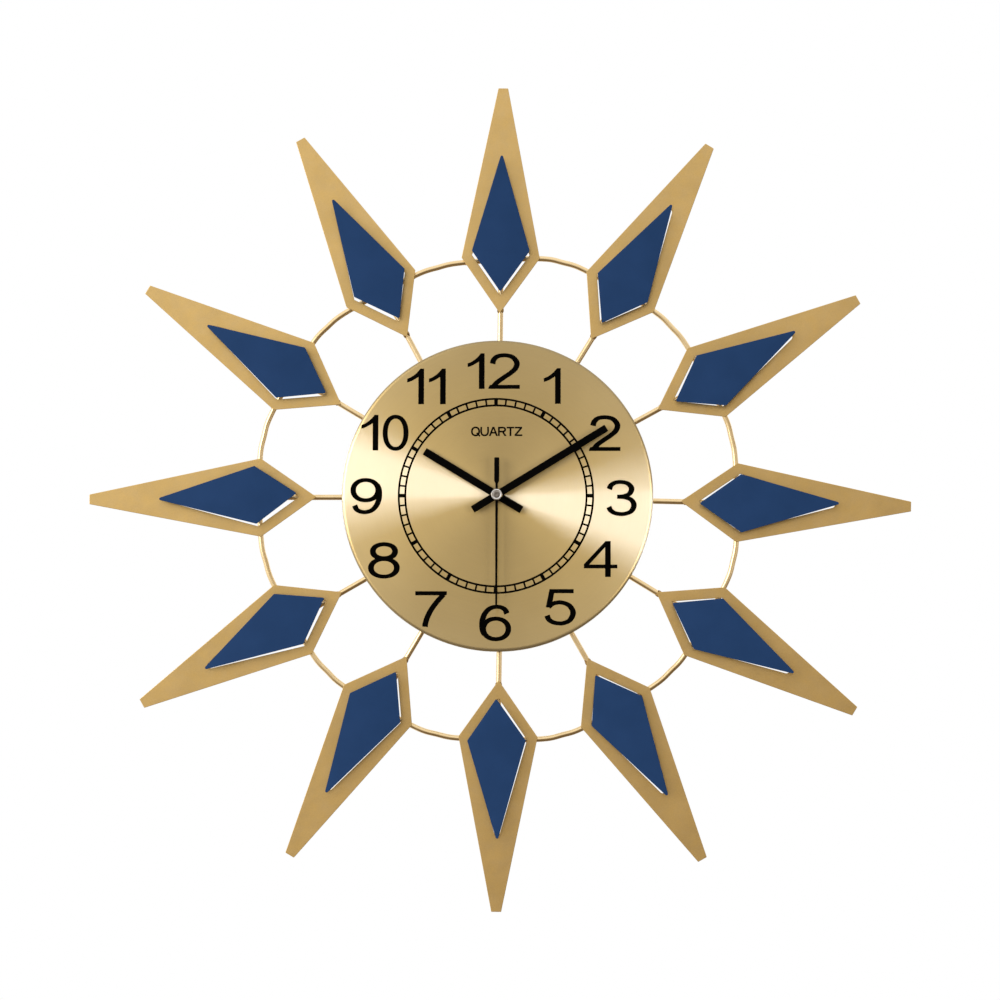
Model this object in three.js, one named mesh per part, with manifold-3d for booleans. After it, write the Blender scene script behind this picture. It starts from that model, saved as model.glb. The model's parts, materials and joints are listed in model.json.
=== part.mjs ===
// Sunburst wall clock. Millimetres, +Z up, +X to the right, the dial faces -Y.
// The origin is on the hand arbor's axis, in the plane of the wall (y = 0).
// Everything is laid out on a bench first: X right, Y up, Z = distance from the wall
// towards the viewer. One group then stands the bench up against the wall.
import * as THREE from "three";
import { mergeVertices } from "three/addons/utils/BufferGeometryUtils.js";
import Module from "manifold-3d";

const wasm = await Module();
wasm.setup();

// ---------------------------------------------------------------- dimensions
const TIP_RADIUS = 300; // the burst is 600 mm across
const ROD_R = 2; // 4 mm rod, for the spokes and the hoop
const ROD_Z = 2; // the rods lie on the wall
const SHEET = 1.2; // gold and blue sheet
const KITE_Z = 4.3; // rear face of the gold kites
const PANEL_Z = 12.0; // rear face of the blue panels
const STUD_R = 2.0; // stand-off behind each blue panel
const STUD_RADIUS = 168; // how far out on its spoke a stud stands
const SPOKE_START = 46;

// outline of a gold kite: [half width, distance from the clock's centre]
const KITE = { apex: 133.55, side: [28.67, 174.24], tip: [3.56, TIP_RADIUS] };
const CUTOUT = { apex: 146.5, side: [21.0, 176.3], tip: 251 };
const PANEL = { apex: 146.93, side: [21.12, 177.09], tip: 250.1 };

// How each welded kite sits against its true place on the ring:
// [sideways, clockwise positive; outwards; turned clockwise, degrees], 12 o'clock first
const KITE_SET = [
  [0.51, 0.79, 0.37], [0.94, 0.14, 1.03], [2.68, -1.02, 0.79], [3.13, -0.57, 0.93],
  [2.08, 0.89, 0.54], [1.24, 0.69, -0.31], [-1.84, -0.15, 0.07], [-1.96, 0.06, -0.1],
  [-4.34, -0.68, 0.39], [-1.88, -1.24, -1.02], [0.41, -0.59, 0.29], [0.63, 1.04, 1.11],
];
const PANEL_SET = [
  [0.82, 2.07, 0.11], [1.54, -0.03, 0.04], [3.61, -0.78, -0.75], [4.12, -0.69, -0.38],
  [2.52, 1.26, -0.52], [1.46, 0.59, -1.37], [-1.04, -0.36, -0.88], [-1.73, -0.17, -0.36],
  [-3.08, -1.54, -1.16], [-0.51, -1.01, -2.85], [1.21, -1.15, -0.81], [1.72, 1.25, 0.25],
];
// A point on each spoke and the spoke's direction, clockwise from 12 o'clock
const SPOKES = [
  [0.62, 122.36, 0.13], [61.69, 106.17, 31.08], [107.87, 60.05, 60.81], [124.28, -2.47, 91.04],
  [107.49, -63.8, 120.81], [60.79, -109.53, 149.69], [1.98, -124.91, 180.35], [-60.02, -108.71, 210.13],
  [-104.46, -65.58, 239.71], [-122.58, -1.2, 269.5], [-105.81, 61.21, 300.46], [-61.16, 105.84, 331.43],
];
// The hoop is one rod bent round by hand: its radius at the angles between the kites
const HOOP = [
  [10.91, 178.12], [14.94, 178.35], [18.97, 178.37], [41.12, 177.63], [45.15, 177.3], [49.17, 177.06],
  [71.23, 175.64], [75.23, 175.35], [79.23, 175.21], [101.12, 176.6], [105.09, 177.11], [109.05, 177.4],
  [130.8, 178.15], [134.74, 178.11], [138.68, 178.14], [160.36, 178.98], [164.31, 179.02], [168.25, 178.97],
  [189.99, 177.81], [193.95, 177.94], [197.92, 178.07], [219.82, 177.79], [223.82, 177.55], [227.82, 177.4],
  [249.88, 175.93], [253.9, 175.88], [257.93, 176.05], [280.11, 176.81], [284.14, 177.02], [288.18, 177.24],
  [310.38, 177.14], [314.42, 176.93], [318.46, 176.43], [340.66, 174.27], [344.69, 174.35], [348.73, 174.51],
];

// dial: a spun pan with a turned-back edge
const DIAL_R = 112.8;
const DIAL_BACK = 17.5;
const DIAL_FRONT = 18.3;
const DIAL_EDGE = 2.5; // radius of the turned edge
const DIAL_SKIRT_END = 5.0;
const DIAL_HOLE = 3.2;

// back plate: closes the pan, carries the spokes and the two hanging slots
const BACK_Z = [4.3, 5.5];
const BACK_R = 111.7;
const FLANGE_TOP = 10.5;
const WINDOW = 29; // half the side of the movement's window
const SLOT_ANGLE = 15; // hanging slots, either side of 12 o'clock
const SLOT_RADIUS = 78;

// movement
const CASE = 28; // half the side
const CASE_Z = 16.5;
const WALL = 1.2;
const BAY_TOP = -11.8; // the battery bay's ceiling
const STEM_R = 3.05;
const STEM_BORE = 2.3;
const STEM_TOP = 20.0;
const AA_R = 7.1;
const AA_Y = -19.35;
const AA_Z = 8.0;

// gears: [teeth, module]
const ROTOR_PINION = [10, 0.26];
const INTER_WHEEL = [60, 0.26];
const INTER_PINION = [12, 0.29];
const SECONDS_WHEEL = [60, 0.29];
const SECONDS_PINION = [8, 0.3];
const THIRD_WHEEL = [60, 0.3];
const THIRD_PINION = [8, 10.2 / 36];
const CENTRE_WHEEL = [64, 10.2 / 36];
const CANNON = [10, 0.54];
const SETTING_WHEEL = [30, 0.54];
const SETTING_PINION = [8, 0.54];
const HOUR_WHEEL = [32, 0.54];
const polar = (r, deg) => [r * Math.cos((deg * Math.PI) / 180), r * Math.sin((deg * Math.PI) / 180)];
const AXIS_C = [0, 0];
const AXIS_3 = polar(10.2, 115); // third wheel
const AXIS_I = polar(10.44, -3); // intermediate wheel
const AXIS_S = [-10.8, 0]; // setting wheel and knob
const AXIS_R = [AXIS_I[0] + polar(9.1, 70)[0], AXIS_I[1] + polar(9.1, 70)[1]]; // rotor

// hands: angle clockwise from 12 as the clock stands
const HOUR_ANGLE = 300.8;
const MINUTE_ANGLE = 58.1;
const SECOND_ANGLE = 179.7;

// ------------------------------------------------------------------- helpers
const rad = (d) => (d * Math.PI) / 180;

function bare(geometry) {
  const g = geometry.clone();
  for (const k of Object.keys(g.attributes)) if (k !== "position") g.deleteAttribute(k);
  const m = mergeVertices(g, 1e-4);
  const idx = [];
  const src = m.index.array;
  for (let i = 0; i < src.length; i += 3)
    if (src[i] !== src[i + 1] && src[i + 1] !== src[i + 2] && src[i] !== src[i + 2]) idx.push(src[i], src[i + 1], src[i + 2]);
  m.setIndex(idx);
  return m;
}
function signedVolume(g) {
  const p = g.attributes.position, t = g.index.array;
  const a = new THREE.Vector3(), b = new THREE.Vector3(), c = new THREE.Vector3();
  let v = 0;
  for (let i = 0; i < t.length; i += 3) {
    a.fromBufferAttribute(p, t[i]); b.fromBufferAttribute(p, t[i + 1]); c.fromBufferAttribute(p, t[i + 2]);
    v += a.dot(b.cross(c));
  }
  return v / 6;
}
// A closed geometry with its faces pointing out
function closed(geometry) {
  const g = bare(geometry);
  if (signedVolume(g) < 0) {
    const t = Array.from(g.index.array);
    for (let i = 0; i < t.length; i += 3) [t[i + 1], t[i + 2]] = [t[i + 2], t[i + 1]];
    g.setIndex(t);
  }
  return g;
}
function solid(geometry) {
  const g = closed(geometry);
  return new wasm.Manifold(
    new wasm.Mesh({ numProp: 3, vertProperties: new Float32Array(g.attributes.position.array), triVerts: new Uint32Array(g.index.array) }),
  );
}
function geometryOf(manifold) {
  const m = manifold.getMesh(), n = m.numProp;
  const v = new Float32Array(m.numVert * 3);
  for (let i = 0; i < m.numVert; i++) v.set(m.vertProperties.subarray(i * n, i * n + 3), i * 3);
  return new THREE.BufferGeometry().setAttribute("position", new THREE.BufferAttribute(v, 3)).setIndex(new THREE.BufferAttribute(new Uint32Array(m.triVerts), 1));
}
const join = (first, ...rest) => rest.reduce((a, b) => a.add(b), first);
const cut = (first, ...rest) => rest.reduce((a, b) => a.subtract(b), first);

// Corners of a polygon rounded off: points are [x, y, radius]
function rounded(points, steps = 3) {
  const out = [];
  points.forEach(([x, y, r = 0], i) => {
    if (!r) return out.push(new THREE.Vector2(x, y));
    const p = new THREE.Vector2(x, y);
    const [ax, ay] = points[(i + points.length - 1) % points.length], [bx, by] = points[(i + 1) % points.length];
    const u = new THREE.Vector2(ax, ay).sub(p).normalize(), v = new THREE.Vector2(bx, by).sub(p).normalize();
    const half = Math.acos(Math.min(1, Math.max(-1, u.dot(v)))) / 2;
    const centre = p.clone().add(u.clone().add(v).normalize().multiplyScalar(r / Math.sin(half)));
    const a = p.clone().add(u.multiplyScalar(r / Math.tan(half))).sub(centre);
    const b = p.clone().add(v.multiplyScalar(r / Math.tan(half))).sub(centre);
    let turn = Math.atan2(b.y, b.x) - Math.atan2(a.y, a.x);
    while (turn > Math.PI) turn -= 2 * Math.PI;
    while (turn < -Math.PI) turn += 2 * Math.PI;
    for (let k = 0; k <= steps; k++) out.push(a.clone().rotateAround(new THREE.Vector2(), (turn * k) / steps).add(centre));
  });
  return out;
}
// A flat piece: outline (and holes) pushed out from z0 to z1
function plate(outline, z0, z1, holes = []) {
  const shape = new THREE.Shape(outline);
  for (const h of holes) shape.holes.push(new THREE.Path(h));
  return new THREE.ExtrudeGeometry(shape, { depth: z1 - z0, bevelEnabled: false, steps: 1 }).translate(0, 0, z0);
}
const box = (x0, x1, y0, y1, z0, z1) => new THREE.BoxGeometry(x1 - x0, y1 - y0, z1 - z0).translate((x0 + x1) / 2, (y0 + y1) / 2, (z0 + z1) / 2);
// A round bar standing on the bench
const bar = (x, y, r, z0, z1, sides = 12) => new THREE.CylinderGeometry(r, r, z1 - z0, sides).rotateX(Math.PI / 2).translate(x, y, (z0 + z1) / 2);
// A turned piece: profile of [radius, z] revolved about a vertical bench axis
const turned = (profile, sides, x = 0, y = 0) =>
  new THREE.LatheGeometry(profile.map(([r, z]) => new THREE.Vector2(r, z)), sides).rotateX(Math.PI / 2).translate(x, y, 0);
const roundedBox = (x0, x1, y0, y1, z0, z1, r) => plate(rounded([[x0, y0, r], [x1, y0, r], [x1, y1, r], [x0, y1, r]]), z0, z1);

// Gear outline. Wheels have straight-flanked teeth, pinions have leaves that narrow to the root.
function teethOutline([n, m], phase, pinion) {
  const rp = (n * m) / 2, p = (2 * Math.PI) / n;
  const profile = pinion
    ? [[rp - 1.25 * m, 0.36], [rp, 0.38], [rp + 0.55 * m, 0.2]]
    : [[rp - 1.05 * m, 0.56], [rp + 0.8 * m, 0.16]];
  const pts = [];
  for (let i = 0; i < n; i++) {
    const c = phase + i * p;
    for (const [r, w] of profile) pts.push(new THREE.Vector2(r * Math.cos(c - (w * p) / 2), r * Math.sin(c - (w * p) / 2)));
    for (const [r, w] of [...profile].reverse()) pts.push(new THREE.Vector2(r * Math.cos(c + (w * p) / 2), r * Math.sin(c + (w * p) / 2)));
  }
  return pts;
}
const gear = (g, phase, z0, z1, [x, y], pinion = false) => plate(teethOutline(g, phase, pinion), z0, z1).translate(x, y, 0);
// Phase of gear b so that it meshes with gear a
function meshed(axisA, [na], phaseA, axisB, [nb]) {
  const t = Math.atan2(axisB[1] - axisA[1], axisB[0] - axisA[0]);
  const f = 0.5 - (((t - phaseA) * na) / (2 * Math.PI));
  return t + Math.PI - (f * 2 * Math.PI) / nb;
}

// --------------------------------------------------------------- the assembly
const clock = new THREE.Group();
const bench = new THREE.Group();
bench.rotation.x = Math.PI / 2;
clock.add(bench);

const FINISH = {
  gold_sheet: [0xc9a35a, 0.38, 1.0],
  gold_rod: [0xd2ae62, 0.25, 1.0],
  gold_dial: [0xcdb068, 0.3, 1.0],
  blue: [0x2a4167, 0.6, 0.0],
  black: [0x0c0c0d, 0.55, 0.0],
  silver: [0xb9babc, 0.3, 1.0],
  case_black: [0x161617, 0.5, 0.0],
  steel: [0x8f9499, 0.4, 1.0],
  white_plastic: [0xe6e4dc, 0.5, 0.0],
  brass: [0xb8934a, 0.35, 1.0],
  rubber: [0x1b1b1b, 0.9, 0.0],
  copper: [0xb5662f, 0.35, 1.0],
  board: [0x1f5a36, 0.5, 0.0],
  cell: [0x2f7d46, 0.35, 0.2],
};
function add(name, shape, finish, parent = bench) {
  const [color, roughness, metalness] = FINISH[finish];
  const geometry = shape.isBufferGeometry ? closed(shape) : geometryOf(shape);
  const mesh = new THREE.Mesh(geometry, new THREE.MeshStandardMaterial({ color, roughness, metalness }));
  mesh.name = name;
  parent.add(mesh);
  return mesh;
}
const two = (n) => String(n).padStart(2, "0");

// ---- hoop: a ring of rod whose radius follows the table
const hoopCurve = new THREE.CatmullRomCurve3(
  HOOP.map(([a, r]) => new THREE.Vector3(r * Math.sin(rad(a)), r * Math.cos(rad(a)), 0)), true, "centripetal",
).getPoints(1440);
const hoopTable = hoopCurve.map((v) => [(Math.atan2(v.x, v.y) * 180) / Math.PI, Math.hypot(v.x, v.y)]).sort((a, b) => a[0] - b[0]);
function hoopRadius(deg) {
  let a = deg % 360;
  if (a > 180) a -= 360;
  if (a < -180) a += 360;
  let k = hoopTable.findIndex(([t]) => t >= a);
  if (k <= 0) return hoopTable[0][1];
  const [a0, r0] = hoopTable[k - 1], [a1, r1] = hoopTable[k];
  return a1 === a0 ? r1 : r0 + ((r1 - r0) * (a - a0)) / (a1 - a0);
}
{
  const R0 = 177;
  const ring = new THREE.TorusGeometry(R0, ROD_R, 8, 72);
  const p = ring.attributes.position;
  for (let i = 0; i < p.count; i++) {
    const x = p.getX(i), y = p.getY(i), r = Math.hypot(x, y);
    const grown = r + hoopRadius((Math.atan2(x, y) * 180) / Math.PI) - R0;
    p.setXYZ(i, (x / r) * grown, (y / r) * grown, p.getZ(i) + ROD_Z);
  }
  add("hoop", ring, "gold_rod");
}

// ---- spokes, kites and panels
const kiteOutline = rounded([
  [0, KITE.apex - KITE.side[1], 0.5], [KITE.side[0], 0, 0.8], [KITE.tip[0], KITE.tip[1] - KITE.side[1], 0.3],
  [-KITE.tip[0], KITE.tip[1] - KITE.side[1], 0.3], [-KITE.side[0], 0, 0.8],
], 1);
const cutoutOutline = rounded([
  [0, CUTOUT.apex - KITE.side[1], 0.6], [CUTOUT.side[0], CUTOUT.side[1] - KITE.side[1], 0.6],
  [0, CUTOUT.tip - KITE.side[1], 2.2], [-CUTOUT.side[0], CUTOUT.side[1] - KITE.side[1], 0.6],
], 1);
const panelOutline = rounded([
  [0, PANEL.apex - PANEL.side[1], 0.9], [PANEL.side[0], 0, 0.9], [0, PANEL.tip - PANEL.side[1], 1.0], [-PANEL.side[0], 0, 0.9],
], 1);

for (let h = 0; h < 12; h++) {
  const [sx, sy, dir] = SPOKES[h];
  const d = new THREE.Vector2(Math.sin(rad(dir)), Math.cos(rad(dir)));
  const reach = (r) => new THREE.Vector2(sx, sy).addScaledVector(d, r - Math.hypot(sx, sy));
  const outer = reach(170);
  const end = hoopRadius((Math.atan2(outer.x, outer.y) * 180) / Math.PI) - ROD_R - 0.4;
  const from = reach(SPOKE_START), to = reach(end);
  const rod = new THREE.CylinderGeometry(ROD_R, ROD_R, from.distanceTo(to), 10);
  const spoke = add("spoke_" + two(h + 1), rod, "gold_rod");
  spoke.rotation.z = -rad(dir);
  spoke.position.set((from.x + to.x) / 2, (from.y + to.y) / 2, ROD_Z);

  const station = new THREE.Group();
  station.rotation.z = -rad(30 * h);
  bench.add(station);
  const kite = add("gold_kite_" + two(h + 1), plate(kiteOutline, KITE_Z, KITE_Z + SHEET, [cutoutOutline]), "gold_sheet", station);
  kite.position.set(KITE_SET[h][0], KITE.side[1] + KITE_SET[h][1], 0);
  kite.rotation.z = -rad(KITE_SET[h][2]);

  const place = new THREE.Object3D();
  place.position.set(PANEL_SET[h][0], PANEL.side[1] + 1.34 + PANEL_SET[h][1], 0);
  place.rotation.z = -rad(PANEL_SET[h][2]);
  // the set is measured about a point 1.34 mm outside the panel's widest line
  place.translateY(-1.34);
  station.add(place);
  station.updateMatrixWorld(true);
  bench.updateMatrix();
  // the stud stands on the spoke: its place on the bench, seen from the panel
  const foot = reach(STUD_RADIUS);
  const local = new THREE.Vector3(foot.x, foot.y, 0);
  const toBench = new THREE.Matrix4().multiplyMatrices(station.matrix, place.matrix);
  local.applyMatrix4(toBench.invert());
  const body = join(
    solid(plate(panelOutline, PANEL_Z, PANEL_Z + SHEET)),
    solid(bar(local.x, local.y, STUD_R, KITE_Z, PANEL_Z + 0.4, 10)),
  );
  const panel = add("blue_panel_" + two(h + 1), body, "blue", station);
  panel.position.copy(place.position);
  panel.rotation.copy(place.rotation);
  station.remove(place);
}

// ---- back plate
{
  const t = BACK_Z;
  const pan = solid(turned([[0, t[0]], [BACK_R, t[0]], [BACK_R, FLANGE_TOP], [BACK_R - 1, FLANGE_TOP], [BACK_R - 1, t[1]], [0, t[1]]], 60));
  const cutters = [solid(roundedBox(-WINDOW, WINDOW, -WINDOW, WINDOW, 0, 12, 3))];
  for (const s of [-1, 1]) {
    const x = s * SLOT_RADIUS * Math.sin(rad(SLOT_ANGLE)), y = SLOT_RADIUS * Math.cos(rad(SLOT_ANGLE));
    cutters.push(solid(bar(x, y, 4.5, 0, 12, 16)), solid(bar(x, y + 8, 2.3, 0, 12, 12)), solid(box(x - 2.2, x + 2.2, y, y + 8, 0, 12)));
  }
  add("back_plate", cut(pan, ...cutters), "gold_sheet");
}

// ---- dial
{
  const e = DIAL_EDGE, ei = DIAL_EDGE - 0.8;
  const arc = (r, n, flip) => {
    const out = [];
    for (let i = 0; i <= n; i++) {
      const a = (Math.PI / 2) * (flip ? 1 - i / n : i / n);
      out.push([DIAL_R - e + r * Math.sin(a), DIAL_FRONT - e + r * Math.cos(a)]);
    }
    return out;
  };
  const profile = [
    [DIAL_HOLE, DIAL_FRONT], ...arc(e, 3, false), [DIAL_R, DIAL_SKIRT_END], [DIAL_R - 0.8, DIAL_SKIRT_END],
    ...arc(ei, 2, true), [DIAL_HOLE, DIAL_BACK], [DIAL_HOLE, DIAL_FRONT],
  ];
  add("dial", turned(profile, 60), "gold_dial");
}

// ---- hands
function handSolid(outline, z0, z1, bossR, boreR, b0, b1) {
  const parts = [solid(plate(outline, z0, z1))];
  if (bossR) parts.push(solid(bar(0, 0, bossR, b0, b1, 20)));
  return cut(join(...parts), solid(bar(0, 0, boreR, z0 - 5, z1 + 5, 16)));
}
const strip = (w, tail, tip) => rounded([[-w / 2, -tail, 0.25], [w / 2, -tail, 0.25], [w / 2, tip, 0.25], [-w / 2, tip, 0.25]], 1);
{
  const hour = add("hour_hand", handSolid(strip(5.5, 20.8, 61.2), 21.9, 22.4, 3.4, 2.2, 21.3, 22.9), "black");
  hour.rotation.z = -rad(HOUR_ANGLE);
  const minute = add("minute_hand", handSolid(strip(5.3, 20.4, 92.6), 24.0, 24.5, 3.0, 1.4, 23.3, 25.0), "black");
  minute.rotation.z = -rad(MINUTE_ANGLE);
  const needle = rounded([
    [0.7, 81.8, 0.2], [-0.7, 81.8, 0.2], [-0.95, 3], [-1.9, 1.2], [-1.9, -1.2], [-0.85, -3], [-0.85, -8], [-1.8, -9.9, 0.3],
    [-1.8, -26.8, 0.4], [1.8, -26.8, 0.4], [1.8, -9.9, 0.3], [0.85, -8], [0.85, -3], [1.9, -1.2], [1.9, 1.2], [0.95, 3],
  ], 1);
  const second = add("second_hand", handSolid(needle, 27.3, 27.7, 0, 1.05), "black");
  second.rotation.z = -rad(SECOND_ANGLE);
  add("second_hand_tube", turned([[0, 28.5], [2.3, 28.5], [2.45, 28.35], [3.7, 28.35], [4.0, 28.1], [4.0, 27.9], [0.9, 27.9], [0.9, 26.9], [0.62, 26.9], [0.62, 28.1], [0, 28.1]], 24), "silver");
  add("minute_nut", turned([[1.42, 25.3], [3.6, 25.3], [3.6, 26.2], [3.3, 26.5], [1.42, 26.5], [1.42, 25.3]], 28), "silver");
}

// ---- stem nut and gasket
add("stem_nut", turned([[3.15, 18.45], [3.8, 18.45], [3.8, 19.6], [3.15, 19.6], [3.15, 18.45]], 20), "brass");
add("gasket", turned([[3.3, 16.6], [11, 16.6], [11, 17.4], [3.3, 17.4], [3.3, 16.6]], 24), "rubber");

// ---- movement case: a tray open at the back, with a wheel chamber above and a battery bay below
{
  const r = 3;
  const body = solid(roundedBox(-CASE, CASE, -CASE, CASE, 1.6, CASE_Z, r));
  const bay = solid(plate(rounded([[-CASE, -CASE, r], [CASE, -CASE, r], [CASE, BAY_TOP + 0.2], [-CASE, BAY_TOP + 0.2]]), 0, 4));
  const stem = solid(bar(0, 0, STEM_R, CASE_Z - 0.5, STEM_TOP, 20));
  const posts = [[18.3, 4.6, 8.9], [-7.4, 13.0, 8.9], [-24.4, 24.2, 4.4]].map(([x, y, z]) => solid(bar(x, y, 1.2, z, 15.4, 10)));
  const sockets = [AXIS_3, AXIS_I, AXIS_R, AXIS_S].map(([x, y]) => solid(bar(x, y, 0.62, 14, 15.8, 10)));
  const chamber = solid(roundedBox(-CASE + WALL, CASE - WALL, BAY_TOP + WALL, CASE - WALL, -1, 15.0, 1.5));
  const cell = solid(box(-CASE + WALL, CASE - WALL, -CASE + 1.1, BAY_TOP, -1, 15.6));
  add(
    "movement_case",
    cut(join(cut(join(body, bay), chamber, cell), stem, ...posts), solid(bar(0, 0, STEM_BORE, 10, 25, 16)), ...sockets),
    "case_black",
  );
}

// ---- rear cover: closes the wheel chamber, with a hole for the setting knob
{
  const r = 3, low = BAY_TOP + 0.5;
  const skin = solid(plate(rounded([[-CASE, low], [CASE, low], [CASE, CASE, r], [-CASE, CASE, r]]), 0, 1.3));
  const lip = cut(
    solid(roundedBox(-26.4, 26.4, -10.2, 26.4, 1.0, 2.6, 1.2)),
    solid(roundedBox(-25.6, 25.6, -9.4, 25.6, 0.5, 3.5, 0.8)),
  );
  const bosses = [[AXIS_C, 2.5], [AXIS_3, 2.5], [AXIS_I, 2.4], [AXIS_R, 3.6]].map(([[x, y], top]) => solid(bar(x, y, 1.3, 1.0, top, 12)));
  const sockets = [AXIS_C, AXIS_3, AXIS_I, AXIS_R].map(([x, y]) => solid(bar(x, y, 0.62, 0.9, 4, 10)));
  add("rear_cover", cut(join(skin, lip, ...bosses), ...sockets, solid(bar(AXIS_S[0], AXIS_S[1], 5.7, -1, 4, 28))), "case_black");
}

// ---- going train
const ph = {};
ph.secondsWheel = 0;
ph.interPinion = meshed(AXIS_C, SECONDS_WHEEL, ph.secondsWheel, AXIS_I, INTER_PINION);
ph.interWheel = 0;
ph.rotorPinion = meshed(AXIS_I, INTER_WHEEL, ph.interWheel, AXIS_R, ROTOR_PINION);
ph.secondsPinion = 0;
ph.thirdWheel = meshed(AXIS_C, SECONDS_PINION, ph.secondsPinion, AXIS_3, THIRD_WHEEL);
ph.centreWheel = 0;
ph.thirdPinion = meshed(AXIS_C, CENTRE_WHEEL, ph.centreWheel, AXIS_3, THIRD_PINION);
ph.cannon = 0;
ph.settingWheel = meshed(AXIS_C, CANNON, ph.cannon, AXIS_S, SETTING_WHEEL);
ph.hourWheel = 0;
ph.settingPinion = meshed(AXIS_C, HOUR_WHEEL, ph.hourWheel, AXIS_S, SETTING_PINION);

const ARBOR_R = 0.5;
add("seconds_wheel", join(
  solid(gear(SECONDS_WHEEL, ph.secondsWheel, 3.0, 3.8, AXIS_C)),
  solid(gear(SECONDS_PINION, ph.secondsPinion, 3.6, 5.7, AXIS_C, true)),
  solid(bar(0, 0, ARBOR_R, 1.1, 27.8, 10)),
), "white_plastic");
add("third_wheel", join(
  solid(gear(THIRD_WHEEL, ph.thirdWheel, 4.5, 5.3, AXIS_3)),
  solid(gear(THIRD_PINION, ph.thirdPinion, 5.1, 7.8, AXIS_3, true)),
  solid(bar(...AXIS_3, ARBOR_R, 1.1, 15.6, 10)),
), "white_plastic");
add("centre_wheel", cut(
  join(solid(gear(CENTRE_WHEEL, ph.centreWheel, 6.5, 7.3, AXIS_C)), solid(bar(0, 0, 3.0, 6.2, 8.5, 16))),
  solid(bar(0, 0, 1.4, 0, 20, 16)),
), "white_plastic");
add("minute_arbor", cut(
  join(solid(gear(CANNON, ph.cannon, 8.9, 11.0, AXIS_C, true)), solid(bar(0, 0, 1.3, 6.0, 26.6, 16))),
  solid(bar(0, 0, 0.72, 0, 30, 12)),
), "brass");
add("intermediate_wheel", join(
  solid(gear(INTER_WHEEL, ph.interWheel, 4.6, 5.2, AXIS_I)),
  solid(gear(INTER_PINION, ph.interPinion, 2.6, 4.8, AXIS_I, true)),
  solid(bar(...AXIS_I, ARBOR_R, 1.1, 15.6, 10)),
), "white_plastic");
add("rotor", join(
  solid(gear(ROTOR_PINION, ph.rotorPinion, 4.2, 5.6, AXIS_R, true)),
  solid(bar(...AXIS_R, 0.9, 5.4, 6.4, 12)),
  solid(bar(...AXIS_R, 3.0, 6.2, 9.0, 20)),
  solid(bar(...AXIS_R, ARBOR_R, 1.1, 15.6, 10)),
), "steel");

// ---- motion work
{
  const knurl = [];
  for (let i = 0; i < 60; i++) {
    const a = (i / 60) * 2 * Math.PI, r = i % 2 ? 5.25 : 4.95;
    knurl.push(new THREE.Vector2(r * Math.cos(a), r * Math.sin(a)));
  }
  const knob = cut(
    solid(plate(knurl, 0.3, 2.4).translate(...AXIS_S, 0)),
    solid(box(AXIS_S[0] - 3.4, AXIS_S[0] + 3.4, -0.5, 0.5, 0, 0.9)),
  );
  add("setting_wheel", join(
    knob,
    solid(bar(...AXIS_S, 0.9, 2.2, 13.4, 12)),
    solid(gear(SETTING_WHEEL, ph.settingWheel, 9.5, 10.3, AXIS_S)),
    solid(gear(SETTING_PINION, ph.settingPinion, 10.1, 13.2, AXIS_S, true)),
    solid(bar(...AXIS_S, ARBOR_R, 13.0, 15.6, 10)),
  ), "white_plastic");
}
add("hour_wheel", cut(
  join(solid(gear(HOUR_WHEEL, ph.hourWheel, 11.8, 12.7, AXIS_C)), solid(bar(0, 0, 2.1, 11.4, 22.9, 16))),
  solid(bar(0, 0, 1.5, 0, 30, 16)),
), "white_plastic");

// ---- electrics
{
  const [rx, ry] = AXIS_R;
  const frame = solid(plate(rounded([
    [8, 3, 1], [20, 3, 1], [20, 25, 1], [-9, 25, 1], [-9, 11.6, 1], [8, 11.6],
  ], 2), 7.6, 8.6));
  const openings = [
    solid(plate(rounded([[-6, 14.6, 1], [17, 14.6, 1], [17, 21.7, 1], [-6, 21.7, 1]], 2), 6, 9)),
    solid(bar(rx, ry, 3.5, 6, 9, 24)),
  ];
  add("stator", cut(frame, ...openings), "steel");
  // bobbin and winding in one piece, round the stator's upper limb
  const along = (g) => g.rotateY(Math.PI / 2); // bar standing up becomes a bar lying along X
  const winding = solid(along(bar(0, 0, 2.9, -9.5, 9.5, 20)).translate(5.5, 23.35, 8.1));
  const cheeks = [-10.2, 9.4].map((x) => solid(along(bar(0, 0, 3.25, x, x + 0.8, 20)).translate(5.5, 23.35, 8.1)));
  add("coil", cut(join(winding, ...cheeks), solid(box(-8, 18, 23.35 - 1.95, 23.35 + 1.95, 7.3, 8.9))), "copper");
  add("circuit_board", join(
    solid(box(-26, -15, 8, 26, 3.0, 4.0)),
    solid(turned([[0, 3.8], [2.5, 3.8], [2.3, 4.6], [1.3, 5.0], [0, 5.1]], 16, -20.5, 15)),
  ), "board");
  const cellProfile = [[0, -25.2], [3.2, -25.2], [3.2, -24.8], [6.8, -24.8], [AA_R, -24.4], [AA_R, 23.2], [6.7, 23.7], [2.7, 23.7], [2.7, 25.2], [0, 25.2]];
  const cell = new THREE.LatheGeometry(cellProfile.map(([r, y]) => new THREE.Vector2(r, y)), 24).rotateZ(-Math.PI / 2).translate(0, AA_Y, AA_Z);
  add("battery", cell, "cell");
}

export default clock;
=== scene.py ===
import json
import math

import bmesh
import bpy
import numpy as np
from mathutils import Matrix, Vector, noise

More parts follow.
